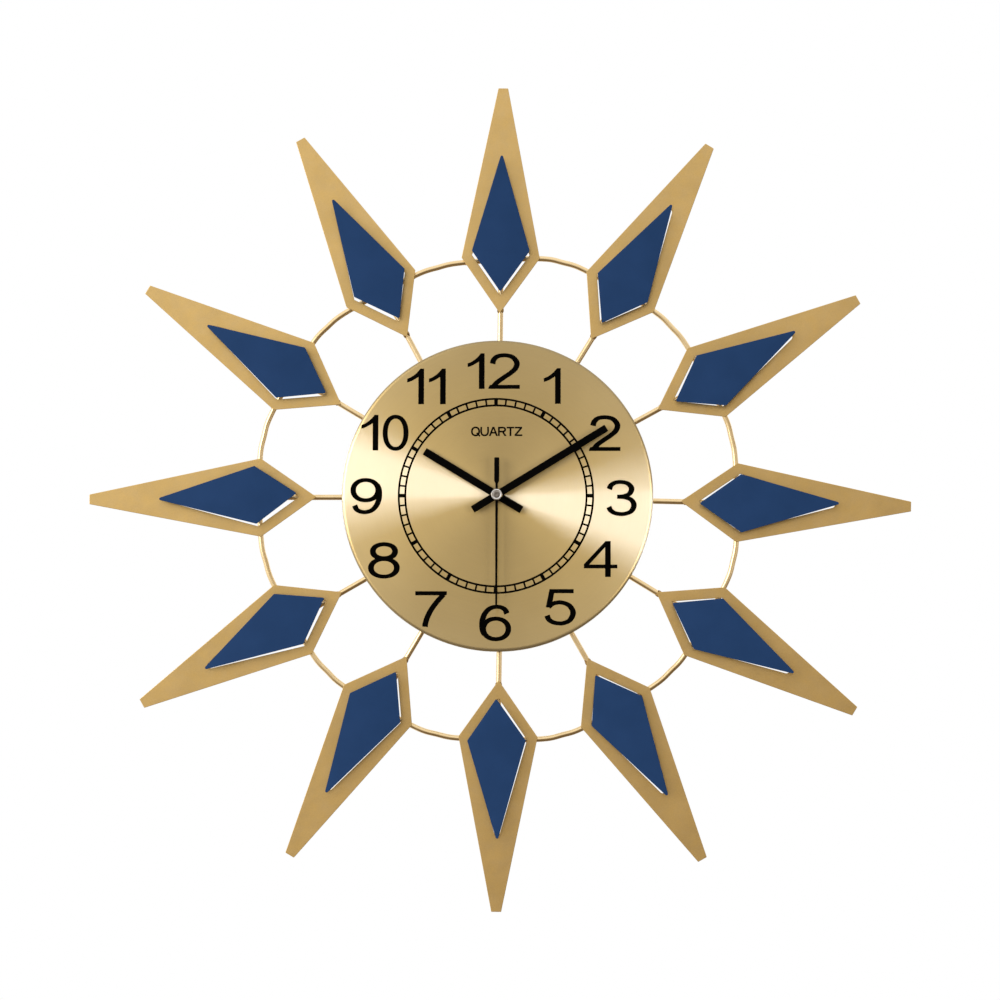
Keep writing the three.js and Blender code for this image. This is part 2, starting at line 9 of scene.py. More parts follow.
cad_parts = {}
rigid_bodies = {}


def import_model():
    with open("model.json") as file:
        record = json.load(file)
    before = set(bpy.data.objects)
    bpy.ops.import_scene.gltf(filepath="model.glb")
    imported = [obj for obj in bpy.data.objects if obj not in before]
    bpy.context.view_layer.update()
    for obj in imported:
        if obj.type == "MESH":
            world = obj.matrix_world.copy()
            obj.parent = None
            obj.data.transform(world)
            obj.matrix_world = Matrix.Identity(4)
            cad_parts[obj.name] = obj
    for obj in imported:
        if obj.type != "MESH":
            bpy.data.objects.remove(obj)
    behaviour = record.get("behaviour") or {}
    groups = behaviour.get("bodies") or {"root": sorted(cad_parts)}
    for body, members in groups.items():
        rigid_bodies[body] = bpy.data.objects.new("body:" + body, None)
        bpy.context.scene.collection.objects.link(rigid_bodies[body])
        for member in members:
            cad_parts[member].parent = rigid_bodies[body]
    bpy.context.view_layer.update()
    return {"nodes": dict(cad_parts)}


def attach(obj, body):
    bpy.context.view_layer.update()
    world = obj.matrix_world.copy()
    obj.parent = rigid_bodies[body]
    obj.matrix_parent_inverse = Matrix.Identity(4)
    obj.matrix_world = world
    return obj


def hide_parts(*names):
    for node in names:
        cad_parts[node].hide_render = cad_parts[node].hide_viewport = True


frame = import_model()
NODES = frame["nodes"]
MM = 0.001

# ------------------------------------------------------------------ geometry tables (as the CAD)
ROD_R, ROD_D = 2.0, 2.0
SHEET, KITE_D, PANEL_D = 1.2, 4.3, 12.0
KITE = {"apex": 133.55, "side": (28.67, 174.24), "tip": (3.56, 300.0)}
CUTOUT = {"apex": 146.5, "side": (21.0, 176.3), "tip": 251.0}
PANEL = {"apex": 146.93, "side": (21.12, 177.09), "tip": 250.1}
KITE_SET = [
    (0.51, 0.79, 0.37), (0.94, 0.14, 1.03), (2.68, -1.02, 0.79), (3.13, -0.57, 0.93),
    (2.08, 0.89, 0.54), (1.24, 0.69, -0.31), (-1.84, -0.15, 0.07), (-1.96, 0.06, -0.1),
    (-4.34, -0.68, 0.39), (-1.88, -1.24, -1.02), (0.41, -0.59, 0.29), (0.63, 1.04, 1.11),
]
PANEL_SET = [
    (0.82, 2.07, 0.11), (1.54, -0.03, 0.04), (3.61, -0.78, -0.75), (4.12, -0.69, -0.38),
    (2.52, 1.26, -0.52), (1.46, 0.59, -1.37), (-1.04, -0.36, -0.88), (-1.73, -0.17, -0.36),
    (-3.08, -1.54, -1.16), (-0.51, -1.01, -2.85), (1.21, -1.15, -0.81), (1.72, 1.25, 0.25),
]
SPOKES = [
    (0.62, 122.36, 0.13), (61.69, 106.17, 31.08), (107.87, 60.05, 60.81), (124.28, -2.47, 91.04),
    (107.49, -63.8, 120.81), (60.79, -109.53, 149.69), (1.98, -124.91, 180.35), (-60.02, -108.71, 210.13),
    (-104.46, -65.58, 239.71), (-122.58, -1.2, 269.5), (-105.81, 61.21, 300.46), (-61.16, 105.84, 331.43),
]
HOOP = [
    (10.91, 178.12), (14.94, 178.35), (18.97, 178.37), (41.12, 177.63), (45.15, 177.3), (49.17, 177.06),
    (71.23, 175.64), (75.23, 175.35), (79.23, 175.21), (101.12, 176.6), (105.09, 177.11), (109.05, 177.4),
    (130.8, 178.15), (134.74, 178.11), (138.68, 178.14), (160.36, 178.98), (164.31, 179.02), (168.25, 178.97),
    (189.99, 177.81), (193.95, 177.94), (197.92, 178.07), (219.82, 177.79), (223.82, 177.55), (227.82, 177.4),
    (249.88, 175.93), (253.9, 175.88), (257.93, 176.05), (280.11, 176.81), (284.14, 177.02), (288.18, 177.24),
    (310.38, 177.14), (314.42, 176.93), (318.46, 176.43), (340.66, 174.27), (344.69, 174.35), (348.73, 174.51),
]
STUD_R, STUD_RADIUS = 2.0, 168.0
DIAL_R, DIAL_FRONT, DIAL_BACK, DIAL_EDGE, DIAL_SKIRT, DIAL_HOLE = 112.8, 18.3, 17.5, 2.5, 5.0, 3.2
BACK_R = 111.7
HOUR_ANGLE, MINUTE_ANGLE, SECOND_ANGLE = 300.8, 58.1, 179.7


def rad(a):
    return a * math.pi / 180


# ------------------------------------------------------------------ mesh helpers
def place(points):
    """[x, z, d] in mm -> world metres"""
    return [Vector((p[0] * MM, -p[2] * MM, p[1] * MM)) for p in points]


def finish_mesh(name, bm, mat, body, sharp=30.0, smooth=True):
    bmesh.ops.remove_doubles(bm, verts=bm.verts, dist=1e-7)
    bmesh.ops.recalc_face_normals(bm, faces=bm.faces)
    mesh = bpy.data.meshes.new(name)
    bm.to_mesh(mesh)
    bm.free()
    if smooth:
        mesh.shade_smooth()
        mesh.set_sharp_from_angle(angle=rad(sharp))
    ob = bpy.data.objects.new(name, mesh)
    bpy.context.scene.collection.objects.link(ob)
    for m in mat if isinstance(mat, (list, tuple)) else [mat]:
        mesh.materials.append(m)
    if body:
        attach(ob, body)
    return ob


def round_corners(points, steps=6):
    """points [x, y, radius] -> outline with rounded corners"""
    out = []
    n = len(points)
    for i, (x, y, *rr) in enumerate(points):
        r = rr[0] if rr else 0
        p = Vector((x, y))
        if not r:
            out.append((x, y))
            continue
        a = (Vector(points[i - 1][:2]) - p).normalized()
        b = (Vector(points[(i + 1) % n][:2]) - p).normalized()
        half = math.acos(max(-1, min(1, a.dot(b)))) / 2
        c = p + (a + b).normalized() * (r / math.sin(half))
        s = p + a * (r / math.tan(half)) - c
        e = p + b * (r / math.tan(half)) - c
        turn = math.atan2(e.y, e.x) - math.atan2(s.y, s.x)
        while turn > math.pi:
            turn -= 2 * math.pi
        while turn < -math.pi:
            turn += 2 * math.pi
        for k in range(steps + 1):
            t = turn * k / steps
            out.append((c.x + s.x * math.cos(t) - s.y * math.sin(t), c.y + s.x * math.sin(t) + s.y * math.cos(t)))
    return out


def area2(o):
    return sum(o[i - 1][0] * o[i][1] - o[i][0] * o[i - 1][1] for i in range(len(o)))


def shrink(outline, amount):
    """Offset a simple outline towards its inside (negative: outwards), mitred."""
    o = outline if area2(outline) > 0 else outline[::-1]
    n = len(o)
    out = []
    for i in range(n):
        p0, p1, p2 = Vector(o[i - 1]), Vector(o[i]), Vector(o[(i + 1) % n])
        u, v = (p1 - p0), (p2 - p1)
        if u.length < 1e-9 or v.length < 1e-9:
            out.append(tuple(p1))
            continue
        u.normalize()
        v.normalize()
        nu, nv = Vector((-u.y, u.x)), Vector((-v.y, v.x))
        m = nu + nv
        k = m.length_squared / 2
        out.append(tuple(p1 + m * (amount / max(k, 0.25))))
    return out if area2(outline) > 0 else out[::-1]


def slab(bm, outline, holes, d0, d1, bevel, steps=3, to_xz=None, rear_bevel=None):
    """A flat piece with rounded edges: outline and holes (x, z mm), rear face at d0, front at d1."""
    to_xz = to_xz or (lambda p: p)
    rb = bevel if rear_bevel is None else rear_bevel
    loops = [(outline, 1.0)] + [(h, -1.0) for h in holes]
    caps = {"front": [], "rear": []}
    for o, sign in loops:
        rings = []
        levels = []
        if rb > 0:
            for k in range(steps + 1):
                a = math.pi / 2 * k / steps
                levels.append((rb * (1 - math.sin(a)), d0 + rb * (1 - math.cos(a))))
        else:
            levels.append((0.0, d0))
        if bevel > 0:
            for k in range(steps + 1):
                a = math.pi / 2 * k / steps
                levels.append((bevel * (1 - math.cos(a)), d1 - bevel * (1 - math.sin(a))))
        else:
            levels.append((0.0, d1))
        for inset, d in levels:
            pts = shrink(o, inset * sign)
            rings.append([bm.verts.new(place([(*to_xz(p), d)])[0]) for p in pts])
        for a, b in zip(rings, rings[1:]):
            n = len(a)
            for i in range(n):
                bm.faces.new((a[i], a[(i + 1) % n], b[(i + 1) % n], b[i]))
        caps["rear"].append(rings[0])
        caps["front"].append(rings[-1])
    for side in ("front", "rear"):
        edges = []
        for ring in caps[side]:
            for i in range(len(ring)):
                e = bm.edges.get((ring[i], ring[(i + 1) % len(ring)]))
                edges.append(e)
        if len(caps[side]) == 1:
            bm.faces.new(caps[side][0])
        else:
            bmesh.ops.triangle_fill(bm, use_beauty=True, use_dissolve=False, edges=edges)


def lathe(bm, profile, sides=96, x=0.0, z=0.0, closed=True, wobble=None):
    """Profile [(r, d)] turned about the clock's normal axis at (x, z)."""
    rings = []
    for r, d in profile:
        if r < 1e-6:
            rings.append([bm.verts.new(place([(x, z, d)])[0])])
            continue
        ring = []
        for i in range(sides):
            t = 2 * math.pi * i / sides
            rr = r if wobble is None else r * wobble(t, r, d)
            ring.append(bm.verts.new(place([(x + rr * math.sin(t), z + rr * math.cos(t), d)])[0]))
        rings.append(ring)
    pairs = list(zip(rings, rings[1:])) + ([(rings[-1], rings[0])] if closed else [])
    for a, b in pairs:
        if len(a) == 1 and len(b) == 1:
            continue
        for i in range(sides):
            j = (i + 1) % sides
            if len(a) == 1:
                bm.faces.new((a[0], b[j], b[i]))
            elif len(b) == 1:
                bm.faces.new((a[i], a[j], b[0]))
            else:
                bm.faces.new((a[i], a[j], b[j], b[i]))


def rod(bm, path, radius, sides=24, closed=False, round_ends=True):
    """A round bar along path (world Vectors)."""
    n = len(path)
    rings = []

    def ring(c, t, r, up):
        s = t.cross(up).normalized()
        u = s.cross(t).normalized()
        return [bm.verts.new(c + (s * math.cos(2 * math.pi * k / sides) + u * math.sin(2 * math.pi * k / sides)) * r) for k in range(sides)]

    up = Vector((0, -1, 0))
    tangents = []
    for i in range(n):
        a = path[i - 1] if (i > 0 or closed) else path[i]
        b = path[(i + 1) % n] if (i < n - 1 or closed) else path[i]
        tangents.append((b - a).normalized())
    if abs(tangents[0].dot(up)) > 0.99:
        up = Vector((0, 0, 1))
    if round_ends and not closed:
        for k in range(1, 5):
            a = math.pi / 2 * k / 5
            rings.append(ring(path[0] - tangents[0] * radius * 0.35 * math.cos(a), tangents[0], radius * math.sin(a), up))
    for i in range(n):
        rings.append(ring(path[i], tangents[i], radius, up))
    if round_ends and not closed:
        for k in range(4, 0, -1):
            a = math.pi / 2 * k / 5
            rings.append(ring(path[-1] + tangents[-1] * radius * 0.35 * math.cos(a), tangents[-1], radius * math.sin(a), up))
    pairs = list(zip(rings, rings[1:]))
    if closed:
        pairs.append((rings[-1], rings[0]))
    for a, b in pairs:
        for k in range(sides):
            j = (k + 1) % sides
            bm.faces.new((a[k], a[j], b[j], b[k]))
    if not closed:
        bm.faces.new(rings[0][::-1])
        bm.faces.new(rings[-1])


def bead(bm, centre, size, seed, turn=0.0, lumps=0.22, div=3):
    """A weld bead: a lumpy squashed ball. size (along, across, depth) mm, centre [x, z, d]."""
    made = bmesh.ops.create_icosphere(bm, subdivisions=div, radius=1.0)
    c = place([centre])[0]
    ct, st = math.cos(turn), math.sin(turn)
    for v in made["verts"]:
        p = v.co.copy()
        k = 1 + lumps * noise.noise(p * 1.6 + Vector((seed * 3.1, seed * 1.7, seed)))
        k += 0.06 * math.sin(p.z * 9 + seed)
        a, b, h = p.x * size[1] * k, p.z * size[0] * k, p.y * size[2] * k
        x = a * ct + b * st
        z = -a * st + b * ct
        v.co = c + Vector((x * MM, h * MM, z * MM))


def catmull(points, closed=True, per=10):
    """three.js's centripetal Catmull-Rom through 2-D points"""
    n = len(points)
    out = []
    for i in range(n if closed else n - 1):
        if closed:
            p = [Vector(points[(i + k - 1) % n]) for k in range(4)]
        else:
            p1, p2 = Vector(points[i]), Vector(points[i + 1])
            p0 = Vector(points[i - 1]) if i > 0 else p1 * 2 - p2
            p3 = Vector(points[i + 2]) if i + 2 < n else p2 * 2 - p1
            p = [p0, p1, p2, p3]
        d = [max((p[k + 1] - p[k]).length ** 0.5, 1e-4) for k in range(3)]
        t1 = (p[1] - p[0]) / d[0] - (p[2] - p[0]) / (d[0] + d[1]) + (p[2] - p[1]) / d[1]
        t2 = (p[2] - p[1]) / d[1] - (p[3] - p[1]) / (d[1] + d[2]) + (p[3] - p[2]) / d[2]
        t1, t2 = t1 * d[1], t2 * d[1]
        for k in range(per):
            s = k / per
            c0, c1, c2, c3 = p[1], t1, p[2] * 3 - p[1] * 3 - t1 * 2 - t2, p[1] * 2 - p[2] * 2 + t1 + t2
            out.append(c0 + c1 * s + c2 * s * s + c3 * s * s * s)
    if not closed:
        out.append(Vector(points[-1]))
    return out


# ------------------------------------------------------------------ materials
class Nodes:
    def __init__(self, name):
        self.m = bpy.data.materials.new(name)
        self.m.use_nodes = True
        self.t = self.m.node_tree
        self.t.nodes.clear()
        self.out = self.add("ShaderNodeOutputMaterial")
        self.b = self.add("ShaderNodeBsdfPrincipled")
        self.link(self.b.outputs[0], self.out.inputs[0])
        self.coord = self.add("ShaderNodeTexCoord").outputs["Object"]

    def add(self, kind, **props):
        n = self.t.nodes.new(kind)
        for k, v in props.items():
            setattr(n, k, v)
        return n

    def link(self, a, b):
        self.t.links.new(a, b)

    def val(self, node, key, v):
        s = node.inputs[key]
        if hasattr(v, "is_output") or isinstance(v, bpy.types.NodeSocket):
            self.link(v, s)
        else:
            s.default_value = v

    def noise(self, scale, detail=3.0, rough=0.55, vector=None, dist=0.0):
        n = self.add("ShaderNodeTexNoise")
        self.link(vector or self.coord, n.inputs["Vector"])
        n.inputs["Scale"].default_value = scale
        n.inputs["Detail"].default_value = detail
        n.inputs["Roughness"].default_value = rough
        n.inputs["Distortion"].default_value = dist
        return n.outputs["Fac"]

    def voronoi(self, scale, vector=None):
        n = self.add("ShaderNodeTexVoronoi")
        self.link(vector or self.coord, n.inputs["Vector"])
        n.inputs["Scale"].default_value = scale
        return n.outputs["Distance"]

    def math(self, op, a, b=0.0, c=0.0, clamp=False):
        n = self.add("ShaderNodeMath", operation=op, use_clamp=clamp)
        self.val(n, 0, a)
        self.val(n, 1, b)
        if len(n.inputs) > 2:
            self.val(n, 2, c)
        return n.outputs[0]

    def map(self, v, a, b, c, d, smooth=False):
        n = self.add("ShaderNodeMapRange", interpolation_type="SMOOTHSTEP" if smooth else "LINEAR")
        self.val(n, 0, v)
        for i, x in enumerate((a, b, c, d)):
            self.val(n, i + 1, x)
        return n.outputs[0]

    def mix(self, fac, a, b, blend="MIX"):
        n = self.add("ShaderNodeMix", data_type="RGBA", blend_type=blend)
        self.val(n, 0, fac)
        self.val(n, 6, a if not isinstance(a, tuple) else (*a, 1.0))
        self.val(n, 7, b if not isinstance(b, tuple) else (*b, 1.0))
        return n.outputs[2]

    def scaled(self, sx, sy, sz):
        n = self.add("ShaderNodeMapping")
        self.link(self.coord, n.inputs["Vector"])
        n.inputs["Scale"].default_value = (sx, sy, sz)
        return n.outputs[0]

    def split(self, v=None):
        n = self.add("ShaderNodeSeparateXYZ")
        self.link(v or self.coord, n.inputs[0])
        return n.outputs

    def bump(self, height, strength, distance, normal=None):
        n = self.add("ShaderNodeBump")
        n.inputs["Strength"].default_value = strength
        n.inputs["Distance"].default_value = distance
        self.link(height, n.inputs["Height"])
        if normal is not None:
            self.link(normal, n.inputs["Normal"])
        return n.outputs[0]

    def attr(self, name):
        n = self.add("ShaderNodeAttribute", attribute_type="OBJECT", attribute_name=name)
        return n.outputs

    def set(self, **kw):
        names = {"color": "Base Color", "metal": "Metallic", "rough": "Roughness", "normal": "Normal", "aniso": "Anisotropic",
                 "rot": "Anisotropic Rotation", "tangent": "Tangent", "coat": "Coat Weight", "coat_rough": "Coat Roughness",
                 "spec": "Specular IOR Level", "emit": "Emission Color", "emit_k": "Emission Strength"}
        for k, v in kw.items():
            self.val(self.b, names[k], (*v, 1.0) if isinstance(v, tuple) else v)
        return self.m


def srgb(r, g, b):
    f = lambda c: (c / 255) / 12.92 if c / 255 <= 0.04045 else ((c / 255 + 0.055) / 1.055) ** 2.4
    return (f(r), f(g), f(b))


def gold_sheet(name="gold_sheet", tones=((0.59, 0.400, 0.153), (0.61, 0.414, 0.161))):
    """Satin gold-plated steel sheet: fine grain and soft clouded patches."""
    n = Nodes(name)
    grain = n.noise(1500, 4, 0.65)
    cloud = n.noise(42, 2, 0.5)
    patch = n.noise(130, 3, 0.6)
    base = n.mix(n.map(cloud, 0.3, 0.7, 0, 1), *tones)
    tone = n.math("ADD", n.map(grain, 0.25, 0.75, 0.925, 1.075), n.map(cloud, 0.3, 0.7, -0.025, 0.025))
    tone = n.math("ADD", tone, n.map(patch, 0.3, 0.7, -0.02, 0.02))
    hsv = n.add("ShaderNodeHueSaturation")
    n.link(base, hsv.inputs["Color"])
    n.link(tone, hsv.inputs["Value"])
    n.link(n.map(patch, 0.3, 0.7, 0.97, 1.03), hsv.inputs["Saturation"])
    normal = n.bump(cloud, 0.22, 0.0012)
    normal = n.bump(grain, 0.16, 0.00012, normal)
    return n.set(color=hsv.outputs[0], metal=0.86, rough=n.map(patch, 0.3, 0.7, 0.32, 0.37), normal=normal)


def gold_rod():
    """Polished gold-plated rod with faint draw marks along it."""
    n = Nodes("gold_rod")
    mark = n.noise(150, 2, 0.5)
    haze = n.noise(60, 2, 0.5)
    col = n.mix(n.map(haze, 0.3, 0.7, 0, 1), (0.74, 0.555, 0.30), (0.82, 0.64, 0.37))
    return n.set(color=col, metal=1.0, rough=n.map(haze, 0.3, 0.7, 0.24, 0.32), normal=n.bump(mark, 0.08, 0.0001))


def gold_dial():
    """Circular-brushed gold: grooves run round the centre, so light gathers into two opposite sectors."""
    n = Nodes("gold_dial")
    x, _, z = n.split()
    r = n.math("SQRT", n.math("ADD", n.math("MULTIPLY", x, x), n.math("MULTIPLY", z, z)))
    comb = n.add("ShaderNodeCombineXYZ")
    n.link(n.math("MULTIPLY", r, 1.0), comb.inputs[0])
    ang = n.math("ARCTAN2", x, z)
    n.link(n.math("MULTIPLY", ang, 0.0009), comb.inputs[1])
    groove = n.noise(5200, 3, 0.7, comb.outputs[0])
    broad = n.noise(900, 2, 0.5, comb.outputs[0])
    cloud = n.noise(26, 2, 0.5)
    col = n.mix(n.map(cloud, 0.3, 0.7, 0, 1), DIAL_TONE[0], DIAL_TONE[1])
    hsv = n.add("ShaderNodeHueSaturation")
    n.link(col, hsv.inputs["Color"])
    value = n.math("ADD", n.map(groove, 0.3, 0.7, 0.965, 1.035), n.map(broad, 0.3, 0.7, -0.015, 0.015))
    # painted sheen: the dial's colour is made lighter and less saturated towards the rim
    n.link(n.math("ADD", value, n.map(r, 0.075, 0.108, 0.0, 0.04)), hsv.inputs["Value"])
    n.link(n.map(r, 0.075, 0.108, 1.0, 0.95), hsv.inputs["Saturation"])
    tan = n.add("ShaderNodeTangent", direction_type="RADIAL", axis="Y")
    normal = n.bump(groove, 0.05, 0.00003)
    n.set(color=hsv.outputs[0], metal=0.9, rough=0.44, aniso=0.25, rot=0.25, tangent=tan.outputs[0], normal=normal)
    sheen = n.add("ShaderNodeBsdfAnisotropic")  # clear lacquer that follows the grooves: its highlight keeps the lamp's own white
    for key, v in (("Color", (1.0, 0.98, 0.90, 1)), ("Roughness", 0.52), ("Anisotropy", 0.965), ("Rotation", 0.0)):
        sheen.inputs[key].default_value = v
    n.link(tan.outputs[0], sheen.inputs["Tangent"])
    n.link(normal, sheen.inputs["Normal"])
    mixer = n.add("ShaderNodeMixShader")
    mixer.inputs[0].default_value = LACQUER
    n.link(n.b.outputs[0], mixer.inputs[1])
    n.link(sheen.outputs[0], mixer.inputs[2])
    n.link(mixer.outputs[0], n.out.inputs[0])
    return n.m


def blue_paint():
    """Matte powder coat: fine orange peel."""
    n = Nodes("blue_paint")
    peel = n.voronoi(1300)
    grain = n.noise(1700, 3, 0.6)
    cloud = n.noise(55, 2, 0.5)
    col = n.mix(n.map(cloud, 0.3, 0.7, 0, 1), BLUE[0], BLUE[1])
    hsv = n.add("ShaderNodeHueSaturation")
    n.link(col, hsv.inputs["Color"])
    n.link(n.map(grain, 0.3, 0.7, 0.96, 1.04), hsv.inputs["Value"])
    return n.set(color=hsv.outputs[0], metal=0.0, rough=n.map(grain, 0.3, 0.7, 0.62, 0.74), spec=0.12,
                 normal=n.bump(peel, 0.25, 0.00006))


def plastic(name, a, b, rough, grain=900, depth=0.00005, spec=0.4):
    n = Nodes(name)
    g = n.noise(grain, 4, 0.65)
    c = n.noise(70, 2, 0.5)
    return n.set(color=n.mix(n.map(c, 0.3, 0.7, 0, 1), a, b), metal=0.0, rough=n.map(g, 0.3, 0.7, rough - 0.05, rough + 0.06), spec=spec,
                 normal=n.bump(g, 0.35, depth))


def metal(name, a, b, rough, streak=(300, 300, 300), aniso=0.0, depth=0.00003):
    n = Nodes(name)
    s = n.noise(1.0, 4, 0.6, n.scaled(*streak))
    c = n.noise(90, 2, 0.5)
    return n.set(color=n.mix(n.map(c, 0.3, 0.7, 0, 1), a, b), metal=1.0, rough=n.map(s, 0.3, 0.7, rough - 0.05, rough + 0.07), aniso=aniso,
                 normal=n.bump(s, 0.2, depth))


def bead_metal_with_painted_shade():
    """Weld bead under gold plating, dark brown: partly a heat tint, partly painted shade where the rods pass under the
    kites' points and corners.
    """
    n = Nodes("weld")
    g = n.noise(900, 4, 0.7)
    c = n.noise(380, 2, 0.5)
    col = n.mix(n.map(c, 0.35, 0.65, 0, 1), (0.22, 0.12, 0.04), (0.50, 0.33, 0.13))
    return n.set(color=col, metal=0.85, rough=n.map(g, 0.3, 0.7, 0.34, 0.55), normal=n.bump(g, 0.5, 0.00015))


def winding():
    n = Nodes("copper_winding")
    w = n.add("ShaderNodeTexWave", bands_direction="X", wave_profile="SIN")
    n.link(n.coord, w.inputs["Vector"])
    w.inputs["Scale"].default_value = 900
    c = n.noise(300, 2, 0.5)
    return n.set(color=n.mix(n.map(c, 0.3, 0.7, 0, 1), (0.50, 0.19, 0.06), (0.72, 0.31, 0.12)), metal=1.0, rough=0.32,
                 normal=n.bump(w.outputs["Fac"], 0.8, 0.0001))


def board():
    n = Nodes("circuit_board")
    v = n.voronoi(220)
    c = n.noise(160, 2, 0.5)
    col = n.mix(n.map(v, 0.10, 0.16, 1, 0), (0.02, 0.11, 0.045), (0.06, 0.24, 0.10))
    return n.set(color=col, rough=n.map(c, 0.3, 0.7, 0.35, 0.5), normal=n.bump(v, 0.3, 0.0001))


def cell_sleeve():
    """Shrink sleeve: green body with a gold band near the plus end."""
    n = Nodes("cell_label")
    x, _, _ = n.split()
    k = n.map(x, 0.0118, 0.0122, 0, 1)
    s = n.noise(300, 3, 0.6)
    col = n.mix(k, (0.02, 0.14, 0.06), (0.55, 0.36, 0.10))
    return n.set(color=n.mix(n.map(s, 0.3, 0.7, 0.0, 0.12), col, (0.01, 0.06, 0.03)), metal=0.25, rough=n.map(s, 0.3, 0.7, 0.25, 0.34), coat=0.5,
                 coat_rough=0.12, normal=n.bump(s, 0.1, 0.00005))


LACQUER = 0.113
DIAL_TONE = ((0.270, 0.186, 0.062), (0.290, 0.202, 0.070))
BLUE = ((0.0085, 0.0340, 0.1040), (0.0102, 0.0380, 0.1150))

MAT = {
    "gold_sheet": gold_sheet(),
    "gold_back": gold_sheet("gold_back", tones=((0.52, 0.37, 0.145), (0.60, 0.44, 0.19))),
    "gold_rod": gold_rod(),
    "gold_dial": gold_dial(),
    "blue": blue_paint(),
    "black": plastic("black_hand", (0.0007, 0.0006, 0.0005), (0.0014, 0.0012, 0.0010), 0.62, 1600, 0.00002, 0.02),
    "ink": plastic("printed_ink", (0.0006, 0.0005, 0.0003), (0.0012, 0.0010, 0.0006), 0.65, 2600, 0.00001, 0.015),
    "silver": metal("silver", (0.60, 0.59, 0.58), (0.70, 0.69, 0.68), 0.24, (900, 300, 900)),
    "silver_dark": metal("silver_core", (0.17, 0.150, 0.130), (0.27, 0.24, 0.21), 0.36, (900, 300, 900)),
    "brass": metal("brass", (0.60, 0.42, 0.16), (0.68, 0.50, 0.22), 0.30, (400, 2400, 400)),
    "steel": metal("steel", (0.42, 0.43, 0.44), (0.52, 0.53, 0.54), 0.36, (2200, 300, 200)),
    "rubber": plastic("rubber", (0.012, 0.012, 0.012), (0.02, 0.02, 0.02), 0.85, 700, 0.00012, 0.2),
    "black_plastic": plastic("black_plastic", (0.011, 0.011, 0.012), (0.016, 0.016, 0.017), 0.52, 1100, 0.00009),
    "white_plastic": plastic("white_plastic", (0.70, 0.68, 0.62), (0.76, 0.75, 0.70), 0.42, 900, 0.00003),
    "weld": bead_metal_with_painted_shade(),
    "copper": winding(),
    "board": board(),
    "cell": cell_sleeve(),
}


def paint(node, mat):
    me = NODES[node].data
    me.materials.clear()
    me.materials.append(mat)
    for p in me.polygons:
        p.material_index = 0
        p.use_smooth = False


# ------------------------------------------------------------------ hoop and spokes
hoop_pts = catmull([(r * math.sin(rad(a)), r * math.cos(rad(a))) for a, r in HOOP], True, 12)
hoop_polar = sorted(((math.degrees(math.atan2(p.x, p.y)) % 360, p.length) for p in hoop_pts))


def hoop_radius(a):
    return float(np.interp(a % 360, [p[0] for p in hoop_polar], [p[1] for p in hoop_polar], period=360))


bm = bmesh.new()
ring_path = []
for i in range(480):
    a = 360 * i / 480
    r = hoop_radius(a)
    ring_path.append(place([(r * math.sin(rad(a)), r * math.cos(rad(a)), ROD_D)])[0])
rod(bm, ring_path, ROD_R * MM, 20, closed=True)
hoop_ob = finish_mesh("hoop_ring", bm, MAT["gold_rod"], "clock_body")
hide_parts("hoop")


def spoke_point(h, r):
    sx, sz, a = SPOKES[h]
    d = Vector((math.sin(rad(a)), math.cos(rad(a))))
    return Vector((sx, sz)) + d * (r - math.hypot(sx, sz))


spoke_end = []
for h in range(12):
    outer = spoke_point(h, 170)
    end = hoop_radius(math.degrees(math.atan2(outer.x, outer.y))) - ROD_R - 0.4
    spoke_end.append(end)
    a, b = spoke_point(h, 46.5), spoke_point(h, end - 0.5)
    bm = bmesh.new()
    path = [place([(*(a.lerp(b, k / 6)), ROD_D)])[0] for k in range(7)]
    rod(bm, path, ROD_R * MM, 24)
    ob = finish_mesh(f"spoke_rod_{h + 1:02d}", bm, MAT["gold_rod"], "clock_body")
    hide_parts(f"spoke_{h + 1:02d}")

# ------------------------------------------------------------------ kites, panels, studs
kite_outline = round_corners([
    (0, KITE["apex"] - KITE["side"][1], 0.6), (KITE["side"][0], 0, 1.0), (KITE["tip"][0], KITE["tip"][1] - KITE["side"][1], 0.5),
    (-KITE["tip"][0], KITE["tip"][1] - KITE["side"][1], 0.5), (-KITE["side"][0], 0, 1.0),
])
cut_outline = round_corners([
    (0, CUTOUT["apex"] - KITE["side"][1], 0.6), (CUTOUT["side"][0], CUTOUT["side"][1] - KITE["side"][1], 0.6),
    (0, CUTOUT["tip"] - KITE["side"][1], 2.2), (-CUTOUT["side"][0], CUTOUT["side"][1] - KITE["side"][1], 0.6),
])
panel_outline = round_corners([
    (0, PANEL["apex"] - PANEL["side"][1], 0.9), (PANEL["side"][0], 0, 0.9), (0, PANEL["tip"] - PANEL["side"][1], 1.05), (-PANEL["side"][0], 0, 0.9),
])


def station(h, dx, dy, turn):
    """From a kite's own plan (x sideways, y outwards from its widest line) to the clock's face."""
    t, w = rad(turn), rad(30 * h)

    def go(p):
        x = p[0] * math.cos(t) + p[1] * math.sin(t) + dx
        y = -p[0] * math.sin(t) + p[1] * math.cos(t) + dy
        return (x * math.cos(w) + y * math.sin(w), -x * math.sin(w) + y * math.cos(w))

    return go


